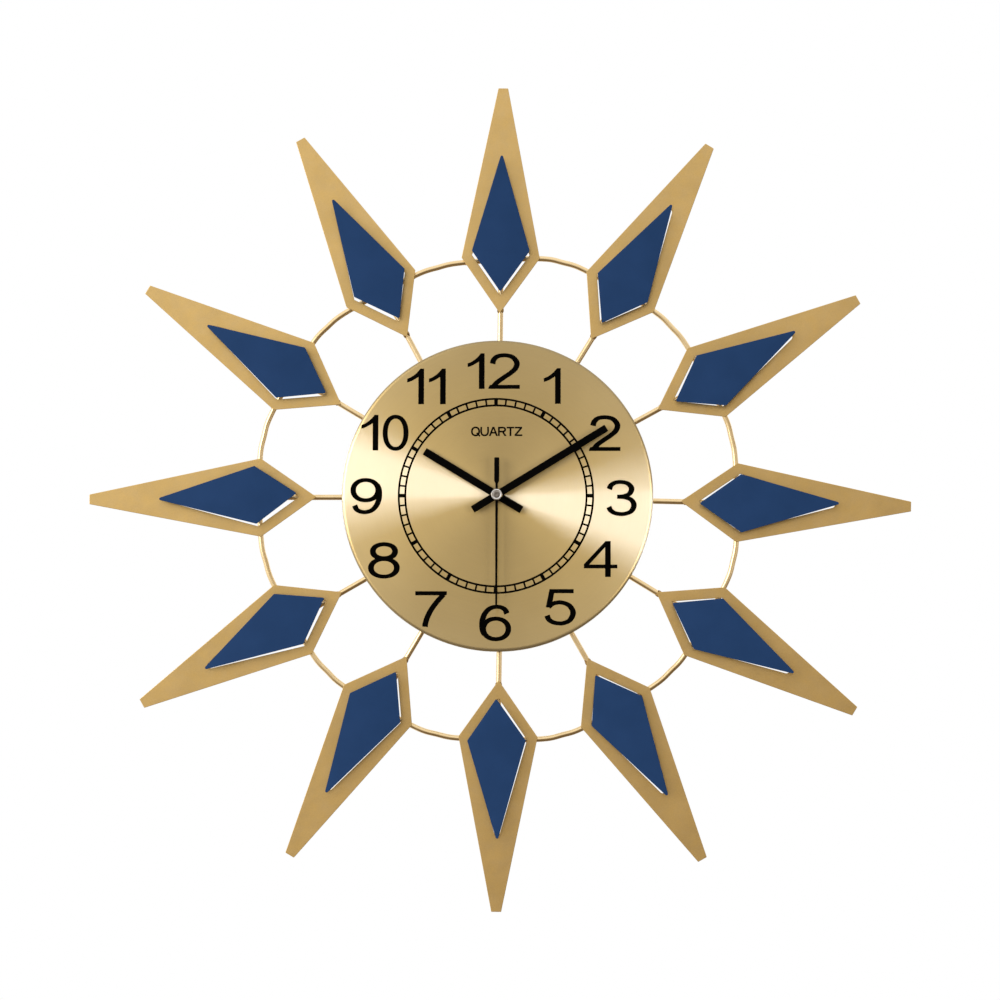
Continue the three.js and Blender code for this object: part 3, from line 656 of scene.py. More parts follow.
for h in range(12):
    dx, dy, t = KITE_SET[h]
    go = station(h, dx, dy + KITE["side"][1], t)
    bm = bmesh.new()
    slab(bm, kite_outline, [cut_outline], KITE_D, KITE_D + SHEET, 0.22, 3, go, rear_bevel=0.1)
    ob = finish_mesh(f"kite_ray_{h + 1:02d}", bm, MAT["gold_sheet"], "clock_body", sharp=12)
    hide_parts(f"gold_kite_{h + 1:02d}")

    dx, dy, t = PANEL_SET[h]
    base = station(h, dx, dy + PANEL["side"][1] + 1.34, t)
    go = lambda p, base=base: base((p[0], p[1] - 1.34))
    bm = bmesh.new()
    slab(bm, panel_outline, [], PANEL_D, PANEL_D + SHEET, 0.3, 4, go)
    ob = finish_mesh(f"panel_{h + 1:02d}", bm, MAT["blue"], "clock_body", sharp=12)
    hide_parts(f"blue_panel_{h + 1:02d}")

    foot = spoke_point(h, STUD_RADIUS)
    bm = bmesh.new()
    prof = [(0, 4.1), (2.45, 4.1), (2.6, 4.4), (2.4, 4.8), (2.05, 5.1), (STUD_R, 5.5), (STUD_R, 11.3), (2.3, 11.7), (2.3, 12.05), (0, 12.05)]
    lathe(bm, prof, 28, foot.x, foot.y, closed=False)
    finish_mesh(f"panel_stud_{h + 1:02d}", bm, MAT["gold_rod"], "clock_body", sharp=40)

# ------------------------------------------------------------------ welds
# the beads' dark brown material is partly painted shade: the apex beads and the hoop beads under the kites' corners sit
# where the kites shade the rods
bm_apex, bm_ring, bm_back = bmesh.new(), bmesh.new(), bmesh.new()
for h in range(12):
    ang = rad(SPOKES[h][2])
    side = Vector((math.cos(ang), -math.sin(ang)))
    for s in (-1, 1):  # two fillets where the spoke passes under the kite's inner point
        p = spoke_point(h, 136.9) + side * s * 1.6
        bead(bm_apex, (p.x, p.y, 3.65), (2.1, 0.85, 0.75), h * 2 + s, ang)
    p = spoke_point(h, spoke_end[h] + 0.25)
    bead(bm_ring, (p.x, p.y, 2.4), (1.2, 2.1, 1.75), h + 40, ang)
    for s in (-1, 1):
        p = spoke_point(h, 104) + side * s * 1.65
        bead(bm_back, (p.x, p.y, 3.6), (3.2, 0.9, 0.8), h * 2 + s + 80, ang)
    p = spoke_point(h, STUD_RADIUS)
    bead(bm_ring, (p.x, p.y, 3.95), (2.5, 2.2, 0.5), h + 120, ang)
    for s in (-1, 1):  # the hoop under each wide corner of the kite
        dx, dy, t = KITE_SET[h]
        go = station(h, dx, dy + KITE["side"][1], t)
        c = go((s * (KITE["side"][0] - 3.4), 1.0))
        a = math.degrees(math.atan2(c[0], c[1]))
        r = hoop_radius(a)
        q = Vector((math.sin(rad(a)), math.cos(rad(a))))
        for e in (-1, 1):
            w = q * (r + e * 1.6)
            bead(bm_ring, (w.x, w.y, 3.65), (0.85, 1.9, 0.75), h * 4 + s + 2 * e + 160, rad(a))
finish_mesh("weld_apex", bm_apex, MAT["weld"], "clock_body", sharp=180)
finish_mesh("weld_ring", bm_ring, MAT["weld"], "clock_body", sharp=180)
finish_mesh("weld_back", bm_back, MAT["weld"], "clock_body", sharp=180)

# ------------------------------------------------------------------ dial
bm = bmesh.new()
e, ei, n_arc = DIAL_EDGE, DIAL_EDGE - 0.8, 10
prof = [(DIAL_HOLE, DIAL_FRONT - 0.15), (DIAL_HOLE + 0.15, DIAL_FRONT)]
prof += [(r, DIAL_FRONT) for r in (5, 12, 25, 40, 55, 70, 85, 100, DIAL_R - e - 1.2, DIAL_R - e - 0.3)]
prof += [(DIAL_R - e + e * math.sin(math.pi / 2 * k / n_arc), DIAL_FRONT - e + e * math.cos(math.pi / 2 * k / n_arc)) for k in range(n_arc + 1)]
prof += [(DIAL_R, 12.0), (DIAL_R, DIAL_SKIRT + 0.25), (DIAL_R - 0.2, DIAL_SKIRT), (DIAL_R - 0.6, DIAL_SKIRT), (DIAL_R - 0.8, DIAL_SKIRT + 0.25), (DIAL_R - 0.8, 12.0)]
prof += [(DIAL_R - e + ei * math.sin(math.pi / 2 * (1 - k / 6)), DIAL_FRONT - e + ei * math.cos(math.pi / 2 * (1 - k / 6))) for k in range(7)]
prof += [(DIAL_HOLE, DIAL_BACK)]
lathe(bm, prof, 288)
dial_ob = finish_mesh("dial_pan", bm, MAT["gold_dial"], "clock_body", sharp=40)
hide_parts("dial")

# ------------------------------------------------------------------ print on the dial
U = 0.7230  # mm per design unit of the numerals
PRINT_TURN = math.atan2(0.00506, 0.7223)  # the print sits turned a touch on the dial
PU, PV = 2.85, 2.05  # half widths of an upright and of a level stroke


def pen_outline(path, pu=PU, pv=PV):
    """Outline of a stroke drawn with a flat oval pen along path, with square ends."""
    left, right = [], []
    n = len(path)
    for i, p in enumerate(path):
        a, b = path[max(i - 1, 0)], path[min(i + 1, n - 1)]
        t = (Vector(b) - Vector(a)).normalized()
        nx, ny = -t.y, t.x
        k = math.sqrt((pu * nx) ** 2 + (pv * ny) ** 2)
        w = math.sqrt((pu * nx) ** 2 + (pv * ny) ** 2)
        # half width measured across the stroke
        left.append((p[0] + nx * w, p[1] + ny * w))
        right.append((p[0] - nx * w, p[1] - ny * w))
    return left + right[::-1]


def curve(points, per=8):
    return [tuple(v) for v in catmull(points, False, per)]


def oval(cx, cy, rx, ry, power=2.15, n=72):
    out = []
    for i in range(n):
        t = 2 * math.pi * i / n
        c, s = math.cos(t), math.sin(t)
        out.append((cx + rx * math.copysign(abs(c) ** (2 / power), c), cy + ry * math.copysign(abs(s) ** (2 / power), s)))
    return out


def glyph(ch):
    """List of (outline, [holes]) in design units, y down, box starting at 0, 0; and the box width."""
    if ch == "1":
        return [([(17, 35.9), (11.3, 35.9), (11.3, 8.4), (8.6, 10.2), (5.6, 11.9), (2.6, 13.2), (0, 13.9), (0, 10.2), (3.6, 8.7), (6.9, 6.6), (9.9, 4.0), (12.4, 1.1), (13.1, 0), (17, 0)], [])], 17
    if ch == "2":
        s = curve([(4.1, 10.6), (5.1, 6.9), (8.6, 3.4), (15.9, 2.05), (24.0, 3.9), (28.5, 9.7), (27.2, 15.0), (22.6, 19.6), (15.2, 24.6), (8.6, 29.5), (4.3, 34.4)])
        return [(pen_outline(s), []), ([(0, 35.9), (0.15, 34.2), (1.4, 31.9), (31.5, 31.9), (31.5, 35.9)], [])], 31.5
    if ch == "3":
        a = curve([(4.0, 9.3), (5.6, 5.6), (9.4, 2.9), (15.4, 2.05), (22.6, 3.7), (26.3, 8.6), (24.0, 13.8), (18.0, 16.3), (11.8, 16.75)])
        b = curve([(11.8, 16.75), (19.6, 17.4), (26.0, 20.0), (28.6, 25.1), (26.0, 31.0), (20.2, 33.7), (15.3, 34.1), (9.0, 32.9), (5.2, 30.2), (3.5, 26.9)])
        return [(pen_outline(a), []), (pen_outline(b), [])], 31.5
    if ch == "4":
        return [([(0, 23.2), (21.6, 0), (26.8, 0), (26.8, 23.5), (33.4, 23.5), (33.4, 27.3), (26.8, 27.3), (26.8, 35.9), (21.1, 35.9), (21.1, 27.3), (0, 27.3)],
                 [[(5.3, 23.5), (21.1, 23.5), (21.1, 6.3)]])], 33.4
    if ch == "5":
        a = curve([(5.0, 17.7), (8.8, 14.8), (13.0, 13.5), (17.4, 13.3), (25.2, 16.2), (29.3, 23.3), (26.0, 30.9), (20.0, 33.8), (15.4, 34.2), (8.8, 32.8), (4.9, 29.9), (3.4, 26.3)])
        return [(pen_outline(a), []), ([(5.8, 0), (29.9, 0), (29.9, 4.1), (10.4, 4.1), (8.0, 17.4), (7.4, 18.6), (2.1, 18.2)], [])], 32.2
    if ch in "69":
        a = curve([(27.6, 8.9), (25.9, 5.2), (22.4, 2.9), (17.2, 2.05), (10.9, 3.7), (6.0, 8.4), (3.4, 14.6), (2.85, 20.5), (3.4, 25.6), (5.2, 29.6)])
        parts = [(pen_outline(a), []), (oval(16.6, 24.15, 15.3, 12.25, 2.1), [oval(16.6, 24.15, 9.7, 8.15, 2.1)[::-1]])]
        if ch == "9":
            parts = [([(31.6 - x, 36.4 - y) for x, y in o], [[(31.6 - x, 36.4 - y) for x, y in q] for q in hs]) for o, hs in parts]
        return parts, 31.7
    if ch == "7":
        s = curve([(28.2, 3.2), (23.6, 8.3), (19.0, 14.0), (14.9, 20.2), (12.0, 26.4), (10.2, 32.2), (9.75, 35.5)])
        return [(pen_outline(s), []), ([(0, 0), (31.5, 0), (31.5, 3.4), (30.6, 4.1), (0, 4.1)], [])], 31.5
    if ch == "8":
        return [(oval(15.9, 9.3, 14.1, 9.3, 2.1), [oval(15.9, 9.1, 8.2, 4.95, 2.1)[::-1]]),
                (oval(15.9, 25.7, 15.9, 10.7, 2.1), [oval(15.9, 25.7, 10.0, 6.8, 2.1)[::-1]])], 31.9
    if ch == "0":
        return [(oval(13, 18.15, 13, 18.15, 2.15), [oval(13, 18.15, 7.9, 14.15, 2.15)[::-1]])], 26
    raise ValueError(ch)


def word_glyph(ch):
    """Small capitals, cap height 9.3 units, level and upright strokes alike."""
    k = 0.86
    if ch == "Q":
        return [(oval(4.5, 4.65, 4.5, 4.9, 2.2, 40), [oval(4.5, 4.65, 2.75, 3.2, 2.2, 40)[::-1]]), ([(5.1, 6.5), (6.2, 5.4), (9.5, 9.0), (8.4, 10.1)], [])], 9.3
    if ch == "U":
        s = curve([(0.75, 0), (0.75, 5.6), (1.7, 7.9), (4.1, 8.6), (6.5, 7.9), (7.45, 5.6), (7.45, 0)])
        return [(pen_outline(s, k, k), [])], 8.2
    if ch == "A":
        return [([(-0.1, 9.3), (3.5, 0), (5.4, 0), (9.0, 9.3), (7.15, 9.3), (6.2, 6.8), (2.7, 6.8), (1.75, 9.3)], [[(3.3, 5.2), (5.6, 5.2), (4.45, 1.9)]])], 8.9
    if ch == "R":
        s = curve([(1.5, 0.86), (5.2, 0.86), (6.8, 1.5), (7.1, 2.7), (6.8, 3.9), (5.2, 4.75), (1.5, 4.75)])
        return [([(0, 0), (1.75, 0), (1.75, 9.3), (0, 9.3)], []), (pen_outline(s, k, k), []), ([(3.7, 4.9), (5.7, 4.7), (8.6, 9.3), (6.5, 9.3)], [])], 8.4
    if ch == "T":
        return [([(0, 0), (7.8, 0), (7.8, 1.65), (4.78, 1.65), (4.78, 9.3), (3.02, 9.3), (3.02, 1.65), (0, 1.65)], [])], 7.8
    if ch == "Z":
        return [([(0.3, 0), (7.6, 0), (7.6, 1.5), (2.4, 7.65), (7.8, 7.65), (7.8, 9.3), (0, 9.3), (0, 7.8), (5.2, 1.65), (0.3, 1.65)], [])], 7.8
    raise ValueError(ch)


def union_solid(name, shapes, d0, d1, to_xz):
    """Flat ink shapes joined into one clean solid."""
    objs = []
    for o, holes in shapes:
        bm = bmesh.new()
        slab(bm, o, holes, d0, d1, 0.0, 1, to_xz)
        bmesh.ops.recalc_face_normals(bm, faces=bm.faces)
        bmesh.ops.triangulate(bm, faces=bm.faces)
        me = bpy.data.meshes.new("tmp")
        bm.to_mesh(me)
        bm.free()
        ob = bpy.data.objects.new("tmp", me)
        bpy.context.scene.collection.objects.link(ob)
        objs.append(ob)
    base = objs[0]
    for other in objs[1:]:
        mod = base.modifiers.new("join", "BOOLEAN")
        mod.operation = "UNION"
        mod.solver = "EXACT"
        mod.object = other
    bpy.context.view_layer.update()
    dg = bpy.context.evaluated_depsgraph_get()
    me = bpy.data.meshes.new_from_object(base.evaluated_get(dg))
    bm = bmesh.new()
    bm.from_mesh(me)
    for ob in objs:
        m = ob.data
        bpy.data.objects.remove(ob)
        bpy.data.meshes.remove(m)
    bpy.data.meshes.remove(me)
    if len(bm.verts) < 8:
        raise RuntimeError(name + " came out empty")
    return bm


def on_dial(cx, cz, ox, oy, u=U):
    """Print plan (y down) to the clock's face, centred at (cx, cz)."""
    ct, st = math.cos(PRINT_TURN), math.sin(PRINT_TURN)

    def go(p):
        x, z = (p[0] - ox) * u, -(p[1] - oy) * u
        return (cx + x * ct - z * st, cz + x * st + z * ct)

    return go


INK_D = (DIAL_FRONT - 0.01, DIAL_FRONT + 0.06)
# numeral, centre x, centre z, total width, height
NUMERALS = [
    ("12", -2.86, 89.88, 52.4, 36.0), ("1", 39.65, 79.29, 17.0, 35.9), ("2", 77.85, 45.24, 31.5, 35.9), ("3", 89.99, -1.72, 31.5, 36.1),
    ("4", 75.54, -45.89, 33.4, 35.9), ("5", 46.41, -80.94, 32.2, 36.3), ("6", -0.15, -92.61, 31.7, 36.4), ("7", -46.52, -82.91, 31.5, 35.4),
    ("8", -80.93, -48.08, 31.9, 36.4), ("9", -94.19, -1.62, 31.7, 36.4), ("10", -81.33, 44.47, 47.3, 36.3), ("11", -51.61, 78.42, 38.8, 36.0),
]
for text, cx, cz, width, height in NUMERALS:
    go = on_dial(cx - 0.42, cz + 0.40, width / 2, height / 2)
    x = 0.0
    shapes = []
    gap = {"12": 3.9, "10": 4.3, "11": 4.8}.get(text, 0)
    for i, ch in enumerate(text):
        parts, w = glyph(ch)
        for o, holes in parts:
            shapes.append(([(px + x, py) for px, py in o], [[(px + x, py) for px, py in q] for q in holes]))
        x += w + gap
    bm = union_solid("numeral_" + text, shapes, *INK_D, go)
    finish_mesh("numeral_" + text, bm, MAT["ink"], "clock_body", smooth=False)

go = on_dial(-0.71, 46.38, 25.7, 4.65)
x = 0.0
word = "QUARTZ"
total = sum(word_glyph(c)[1] for c in word)
space = (51.4 - total) / (len(word) - 1)
whole = bmesh.new()
for ch in word:
    parts, w = word_glyph(ch)
    shapes = [([(px + x, py) for px, py in o], [[(px + x, py) for px, py in q] for q in holes]) for o, holes in parts]
    bm = union_solid("letter", shapes, *INK_D, go)
    me = bpy.data.meshes.new("tmp")
    bm.to_mesh(me)
    bm.free()
    whole.from_mesh(me)
    bpy.data.meshes.remove(me)
    x += w + space
finish_mesh("dial_word", whole, MAT["ink"], "clock_body", smooth=False)

# minute track: two rings and sixty bars in one piece
TRACK = (-0.92, -0.26)
R_IN, R_OUT, LINE = 65.55, 70.3, 1.42
bm = bmesh.new()
ticks = []
for i in range(60):
    c = 6.0 * i
    half = (2.65 if i % 5 == 0 else 1.3) / 2
    ticks.append((c, half))


def ring_strip(r0, r1):
    """Returns the two radii as given."""
    return r0, r1


angles = []
for c, half in ticks:
    a_in = math.degrees(half / ((R_IN + R_OUT) / 2))
    angles += [(c - a_in, 1), (c + a_in, 0)]
    for k in (1, 2, 3):
        angles.append((c + a_in + (6.0 - 2 * a_in) * k / 4 * 1.0, 0))
angles.sort()
radii = [R_IN - LINE / 2, R_IN + LINE / 2, R_OUT - LINE / 2, R_OUT + LINE / 2]
turn0 = -math.degrees(PRINT_TURN)
grid = []
for a, _ in angles:
    col = []
    for r in radii:
        t = rad(a + turn0)
        col.append([bm.verts.new(place([(TRACK[0] + r * math.sin(t), TRACK[1] + r * math.cos(t), d)])[0]) for d in INK_D])
    grid.append(col)
n = len(grid)
for i in range(n):
    j = (i + 1) % n
    bar = angles[i][1] == 1
    A, B = grid[i], grid[j]
    for k in (0, 1, 2):
        if k == 1 and not bar:
            continue
        for d in (0, 1):
            bm.faces.new((A[k][d], A[k + 1][d], B[k + 1][d], B[k][d]))
    bm.faces.new((A[0][0], A[0][1], B[0][1], B[0][0]))
    bm.faces.new((A[3][0], A[3][1], B[3][1], B[3][0]))
    if not bar:
        bm.faces.new((A[1][0], A[1][1], B[1][1], B[1][0]))
        bm.faces.new((A[2][0], A[2][1], B[2][1], B[2][0]))
    if bar:
        bm.faces.new((A[1][0], A[1][1], A[2][1], A[2][0]))
        bm.faces.new((B[1][0], B[1][1], B[2][1], B[2][0]))
finish_mesh("minute_track", bm, MAT["ink"], "clock_body", smooth=False)


# ------------------------------------------------------------------ hands
def turned_by(angle):
    a = rad(angle)
    return lambda p: (p[0] * math.cos(a) + p[1] * math.sin(a), -p[0] * math.sin(a) + p[1] * math.cos(a))


def strip(w, tail, tip, r=0.35):
    return round_corners([(-w / 2, -tail, r), (w / 2, -tail, r), (w / 2, tip, r), (-w / 2, tip, r)], 4)


def circle(r, n=48):
    return [(r * math.cos(2 * math.pi * i / n), r * math.sin(2 * math.pi * i / n)) for i in range(n)]


bm = bmesh.new()
slab(bm, strip(5.5, 20.8, 61.2), [circle(2.2)], 21.9, 22.4, 0.14, 3, turned_by(HOUR_ANGLE))
lathe(bm, [(2.2, 21.3), (3.25, 21.3), (3.4, 21.45), (3.4, 21.92), (2.2, 21.92)], 48)
lathe(bm, [(2.2, 22.38), (3.4, 22.38), (3.4, 22.75), (3.25, 22.9), (2.2, 22.9)], 48)
ob = finish_mesh("hour_hand_blade", bm, MAT["black"], "hour", sharp=12)
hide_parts("hour_hand")

bm = bmesh.new()
slab(bm, strip(5.3, 20.4, 92.6), [circle(1.4)], 24.0, 24.5, 0.14, 3, turned_by(MINUTE_ANGLE))
lathe(bm, [(1.4, 23.3), (2.85, 23.3), (3.0, 23.45), (3.0, 24.02), (1.4, 24.02)], 48)
lathe(bm, [(1.4, 24.48), (3.0, 24.48), (3.0, 24.85), (2.85, 25.0), (1.4, 25.0)], 48)
ob = finish_mesh("minute_hand_blade", bm, MAT["black"], "minute", sharp=12)
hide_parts("minute_hand")

needle = round_corners([
    (0.7, 81.8, 0.3), (-0.7, 81.8, 0.3), (-0.95, 3, 0.6), (-1.9, 1.2, 0.6), (-1.9, -1.2, 0.6), (-0.85, -3, 0.6), (-0.85, -8, 0.5), (-1.8, -9.9, 0.8),
    (-1.8, -26.8, 0.5), (1.8, -26.8, 0.5), (1.8, -9.9, 0.8), (0.85, -8, 0.5), (0.85, -3, 0.6), (1.9, -1.2, 0.6), (1.9, 1.2, 0.6), (0.95, 3, 0.6),
], 3)
bm = bmesh.new()
slab(bm, needle, [circle(1.05, 32)], 27.3, 27.7, 0.1, 2, turned_by(SECOND_ANGLE))
ob = finish_mesh("second_hand_needle", bm, MAT["black"], "second", sharp=12)
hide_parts("second_hand")

bm = bmesh.new()
cap_profile = [(0, 28.40), (0.35, 28.40), (0.5, 28.46), (1.95, 28.46), (2.2, 28.42), (2.36, 28.30), (2.4, 28.16), (2.62, 28.16), (2.75, 28.34), (3.0, 28.44), (3.5, 28.44), (3.85, 28.36),
               (4.0, 28.15), (4.0, 27.98), (3.92, 27.9), (0.9, 27.9), (0.9, 26.95), (0.62, 26.95), (0.62, 28.1), (0, 28.1)]
lathe(bm, cap_profile, 72, closed=False)
for f in bm.faces:
    c = f.calc_center_median()
    f.material_index = 1 if math.hypot(c.x, c.z) < 0.0024 and -c.y > 0.0281 else 0
ob = finish_mesh("second_hand_cap", bm, [MAT["silver"], MAT["silver_dark"]], "second", sharp=40)
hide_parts("second_hand_tube")

bm = bmesh.new()
lathe(bm, [(1.42, 25.35), (1.5, 25.3), (3.5, 25.3), (3.6, 25.4), (3.6, 26.1), (3.52, 26.3), (3.3, 26.46), (3.1, 26.5), (2.1, 26.5), (1.9, 26.42), (1.42, 26.2)], 72)
ob = finish_mesh("minute_round_nut", bm, MAT["silver"], "minute", sharp=40)
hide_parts("minute_nut")

# ------------------------------------------------------------------ back plate
win = 29.0
slots = []
for s in (-1, 1):
    cx, cz = s * 78 * math.sin(rad(15)), 78 * math.cos(rad(15))
    key = []
    a0 = math.asin(2.2 / 4.5)
    for k in range(33):
        t = a0 + (2 * math.pi - 2 * a0) * k / 32
        key.append((cx + 4.5 * math.sin(t), cz + 4.5 * math.cos(t)))
    for k in range(13):
        t = math.pi * 1.5 + math.pi * k / 12
        key.append((cx + 2.2 * math.sin(t), cz + 8 + 2.2 * math.cos(t)))
    slots.append(key)
window = round_corners([(-win, -win, 3), (win, -win, 3), (win, win, 3), (-win, win, 3)], 8)
bm = bmesh.new()
slab(bm, [(BACK_R * math.sin(-2 * math.pi * i / 192), BACK_R * math.cos(-2 * math.pi * i / 192)) for i in range(192)], [window] + slots, 4.3, 5.5, 0.0, 1, None, rear_bevel=0.35)
lathe(bm, [(BACK_R - 1, 5.45), (BACK_R, 5.45), (BACK_R, 10.35), (BACK_R - 0.15, 10.5), (BACK_R - 0.85, 10.5), (BACK_R - 1, 10.35)], 192)
ob = finish_mesh("back_pan", bm, MAT["gold_back"], "clock_body", sharp=12)
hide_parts("back_plate")

# ------------------------------------------------------------------ movement and other CAD nodes that stay
for node, mat in {
    "movement_case": "black_plastic", "rear_cover": "black_plastic", "stem_nut": "brass", "gasket": "rubber", "stator": "steel", "coil": "copper",
    "circuit_board": "board", "rotor": "steel", "minute_arbor": "brass", "seconds_wheel": "white_plastic", "third_wheel": "white_plastic",
    "centre_wheel": "white_plastic", "intermediate_wheel": "white_plastic", "setting_wheel": "white_plastic", "hour_wheel": "white_plastic",
}.items():
    paint(node, MAT[mat])

AA = (-19.35, 8.0)
bm = bmesh.new()
prof = [(0, -25.15), (3.1, -25.2), (3.3, -24.9), (5.6, -24.85), (6.0, -24.7), (6.5, -24.75), (6.9, -24.55), (7.08, -24.2), (7.1, -23.6), (7.1, 11.9), (7.1, 12.1),
        (7.1, 22.9), (7.0, 23.35), (6.6, 23.6), (6.0, 23.5), (5.4, 23.62), (3.0, 23.65), (2.75, 23.85), (2.7, 24.9), (2.5, 25.15), (0, 25.2)]
rings = []
for r, x in prof:
    if r < 1e-6:
        rings.append([bm.verts.new(Vector((x * MM, -AA[1] * MM, AA[0] * MM)))])
    else:
        rings.append([bm.verts.new(Vector((x * MM, (-AA[1] + r * math.cos(2 * math.pi * i / 64)) * MM, (AA[0] + r * math.sin(2 * math.pi * i / 64)) * MM))) for i in range(64)])
cell_steel = []
for q, (a, b) in enumerate(zip(rings, rings[1:])):
    for i in range(64):
        j = (i + 1) % 64
        f = bm.faces.new((a[0], b[j], b[i]) if len(a) == 1 else ((a[i], a[j], b[0]) if len(b) == 1 else (a[i], a[j], b[j], b[i])))
        f.material_index = 1 if q < 4 or q > 13 else 0
ob = finish_mesh("aa_cell", bm, [MAT["cell"], MAT["steel"]], "battery", sharp=30)
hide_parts("battery")

# battery contacts: a spring at the minus end, a bent plate at the plus end
bm = bmesh.new()
turns, path = 4.0, []
for k in range(161):
    t = k / 160
    r = 4.6 - 2.0 * t
    a = 2 * math.pi * turns * t
    path.append(Vector(((-26.55 + 1.25 * t) * MM, (-8.0 + r * math.cos(a)) * MM, (AA[0] + r * math.sin(a)) * MM)))
rod(bm, path, 0.14 * MM, 8)
finish_mesh("spring_contact", bm, MAT["steel"], "clock_body", sharp=180)
bm = bmesh.new()
plate_profile = [(26.62, 1.0), (26.62, 15.2), (26.3, 15.4), (26.1, 15.2), (26.1, 10.4), (25.45, 9.2), (25.35, 8.0), (25.45, 6.8), (26.1, 5.6), (26.1, 1.0)]
w0, w1 = AA[0] - 3.2, AA[0] + 3.2
r0 = [bm.verts.new(Vector((x * MM, -d * MM, w0 * MM))) for x, d in plate_profile]
r1 = [bm.verts.new(Vector((x * MM, -d * MM, w1 * MM))) for x, d in plate_profile]
for i in range(len(r0)):
    j = (i + 1) % len(r0)
    bm.faces.new((r0[i], r0[j], r1[j], r1[i]))
bm.faces.new(r0[::-1])
bm.faces.new(r1)
finish_mesh("plate_contact", bm, MAT["steel"], "clock_body", sharp=30)

# moulded details on the rear cover: ribs, an arrow round the knob, screw heads
KNOB = (-10.8, 0.0)
bm = bmesh.new()
for k in range(2):
    a0, a1 = rad(200 + 180 * k - 180), rad(300 + 180 * k - 180)
    outer = [(KNOB[0] + 8.2 * math.sin(a0 + (a1 - a0) * i / 20), KNOB[1] + 8.2 * math.cos(a0 + (a1 - a0) * i / 20)) for i in range(21)]
    inner = [(KNOB[0] + 7.4 * math.sin(a1 - (a1 - a0) * i / 20), KNOB[1] + 7.4 * math.cos(a1 - (a1 - a0) * i / 20)) for i in range(21)]
    slab(bm, outer + inner, [], -0.0, 0.05, 0.0, 1)
    t = a1
    c = Vector((KNOB[0] + 7.8 * math.sin(t), KNOB[1] + 7.8 * math.cos(t)))
    f, s = Vector((math.cos(t), -math.sin(t))), Vector((math.sin(t), math.cos(t)))
    slab(bm, [tuple(c - s * 1.5), tuple(c + f * 2.4), tuple(c + s * 1.5)], [], -0.0, 0.05, 0.0, 1)
finish_mesh("cover_arrows", bm, MAT["white_plastic"], "clock_body", smooth=False)
bm = bmesh.new()
for x0, x1, z0, z1 in ((3, 25, -8.2, -7.4), (3, 25, -5.9, -5.1), (3, 25, -3.6, -2.8)):
    slab(bm, round_corners([(x0, z0, 0.3), (x1, z0, 0.3), (x1, z1, 0.3), (x0, z1, 0.3)], 3), [], 1.3, 1.75, 0.0, 1)
finish_mesh("cover_ribs", bm, MAT["black_plastic"], "clock_body", smooth=False)
for i, (x, z) in enumerate(((23.6, 23.6), (-23.6, 23.6))):
    bm = bmesh.new()
    lathe(bm, [(0, 0.02), (0.5, 0.02), (0.6, 0.35), (1.1, 0.35), (1.2, 0.05), (1.9, 0.05), (2.1, 0.2), (2.1, 1.32), (0, 1.32)], 32, x, z, closed=False)
    finish_mesh(f"cover_screw_{i + 1}", bm, MAT["steel"], "clock_body", sharp=40)

# ------------------------------------------------------------------ floor, light, camera
bm = bmesh.new()
W, Y0, Y1, Z = 4.0, -4.0, 1.2, -0.62
nx, ny = 24, 24
grid = [[bm.verts.new(Vector((-W + 2 * W * i / nx, Y0 + (Y1 - Y0) * j / ny, Z))) for j in range(ny + 1)] for i in range(nx + 1)]
for i in range(nx):
    for j in range(ny):
        bm.faces.new((grid[i][j], grid[i + 1][j], grid[i + 1][j + 1], grid[i][j + 1]))
fl = Nodes("floor_paint")
floor_noise = fl.noise(6, 3, 0.5)
fl.set(color=fl.mix(fl.map(floor_noise, 0.3, 0.7, 0, 1), (0.78, 0.78, 0.77), (0.82, 0.82, 0.81)), rough=0.75, spec=0.2)
floor = finish_mesh("floor", bm, fl.m, None)
floor.visible_glossy = False  # the rods mirror the studio, not the floor

scene = bpy.context.scene
world = bpy.data.worlds.new("studio")
scene.world = world
world.use_nodes = True
wt = world.node_tree
wt.nodes.clear()
ENV_BASE, ENV_LEFT, ENV_UP, ENV_FRONT = 0.64, 1.00, 1.60, 0.05
out = wt.nodes.new("ShaderNodeOutputWorld")
mixs = wt.nodes.new("ShaderNodeMixShader")
lp = wt.nodes.new("ShaderNodeLightPath")
bg_cam = wt.nodes.new("ShaderNodeBackground")
bg_cam.inputs[0].default_value = (1, 1, 1, 1)
bg_env = wt.nodes.new("ShaderNodeBackground")
tc = wt.nodes.new("ShaderNodeTexCoord")
sep = wt.nodes.new("ShaderNodeSeparateXYZ")
wt.links.new(tc.outputs["Generated"], sep.inputs[0])


def wmath(op, a, b):
    n = wt.nodes.new("ShaderNodeMath")
    n.operation = op
    for i, v in enumerate((a, b)):
        if isinstance(v, bpy.types.NodeSocket):
            wt.links.new(v, n.inputs[i])
        else:
            n.inputs[i].default_value = v
    return n.outputs[0]


level = wmath("ADD", wmath("MULTIPLY", sep.outputs[0], -ENV_LEFT), wmath("MULTIPLY", sep.outputs[2], ENV_UP))
level = wmath("ADD", level, wmath("MULTIPLY", sep.outputs[1], -ENV_FRONT))
to_wall = wmath("MINIMUM", wmath("MAXIMUM", wmath("MULTIPLY", wmath("ADD", sep.outputs[1], 0.1), 3.3), 0.0), 1.0)  # the pale wall behind the rods
level = wmath("ADD", level, wmath("MULTIPLY", to_wall, 1.1))
level = wmath("MINIMUM", wmath("MAXIMUM", wmath("ADD", level, ENV_BASE), 0.2), 1.2)
wt.links.new(level, bg_env.inputs[1])
warm = wt.nodes.new("ShaderNodeMix")
warm.data_type = "RGBA"
wt.links.new(wmath("MINIMUM", level, 1.0), warm.inputs[0])
warm.inputs[6].default_value = (1.0, 0.70, 0.36, 1)
warm.inputs[7].default_value = (1.0, 0.99, 0.97, 1)
wt.links.new(warm.outputs[2], bg_env.inputs[0])
wt.links.new(lp.outputs["Is Camera Ray"], mixs.inputs[0])
wt.links.new(bg_env.outputs[0], mixs.inputs[1])
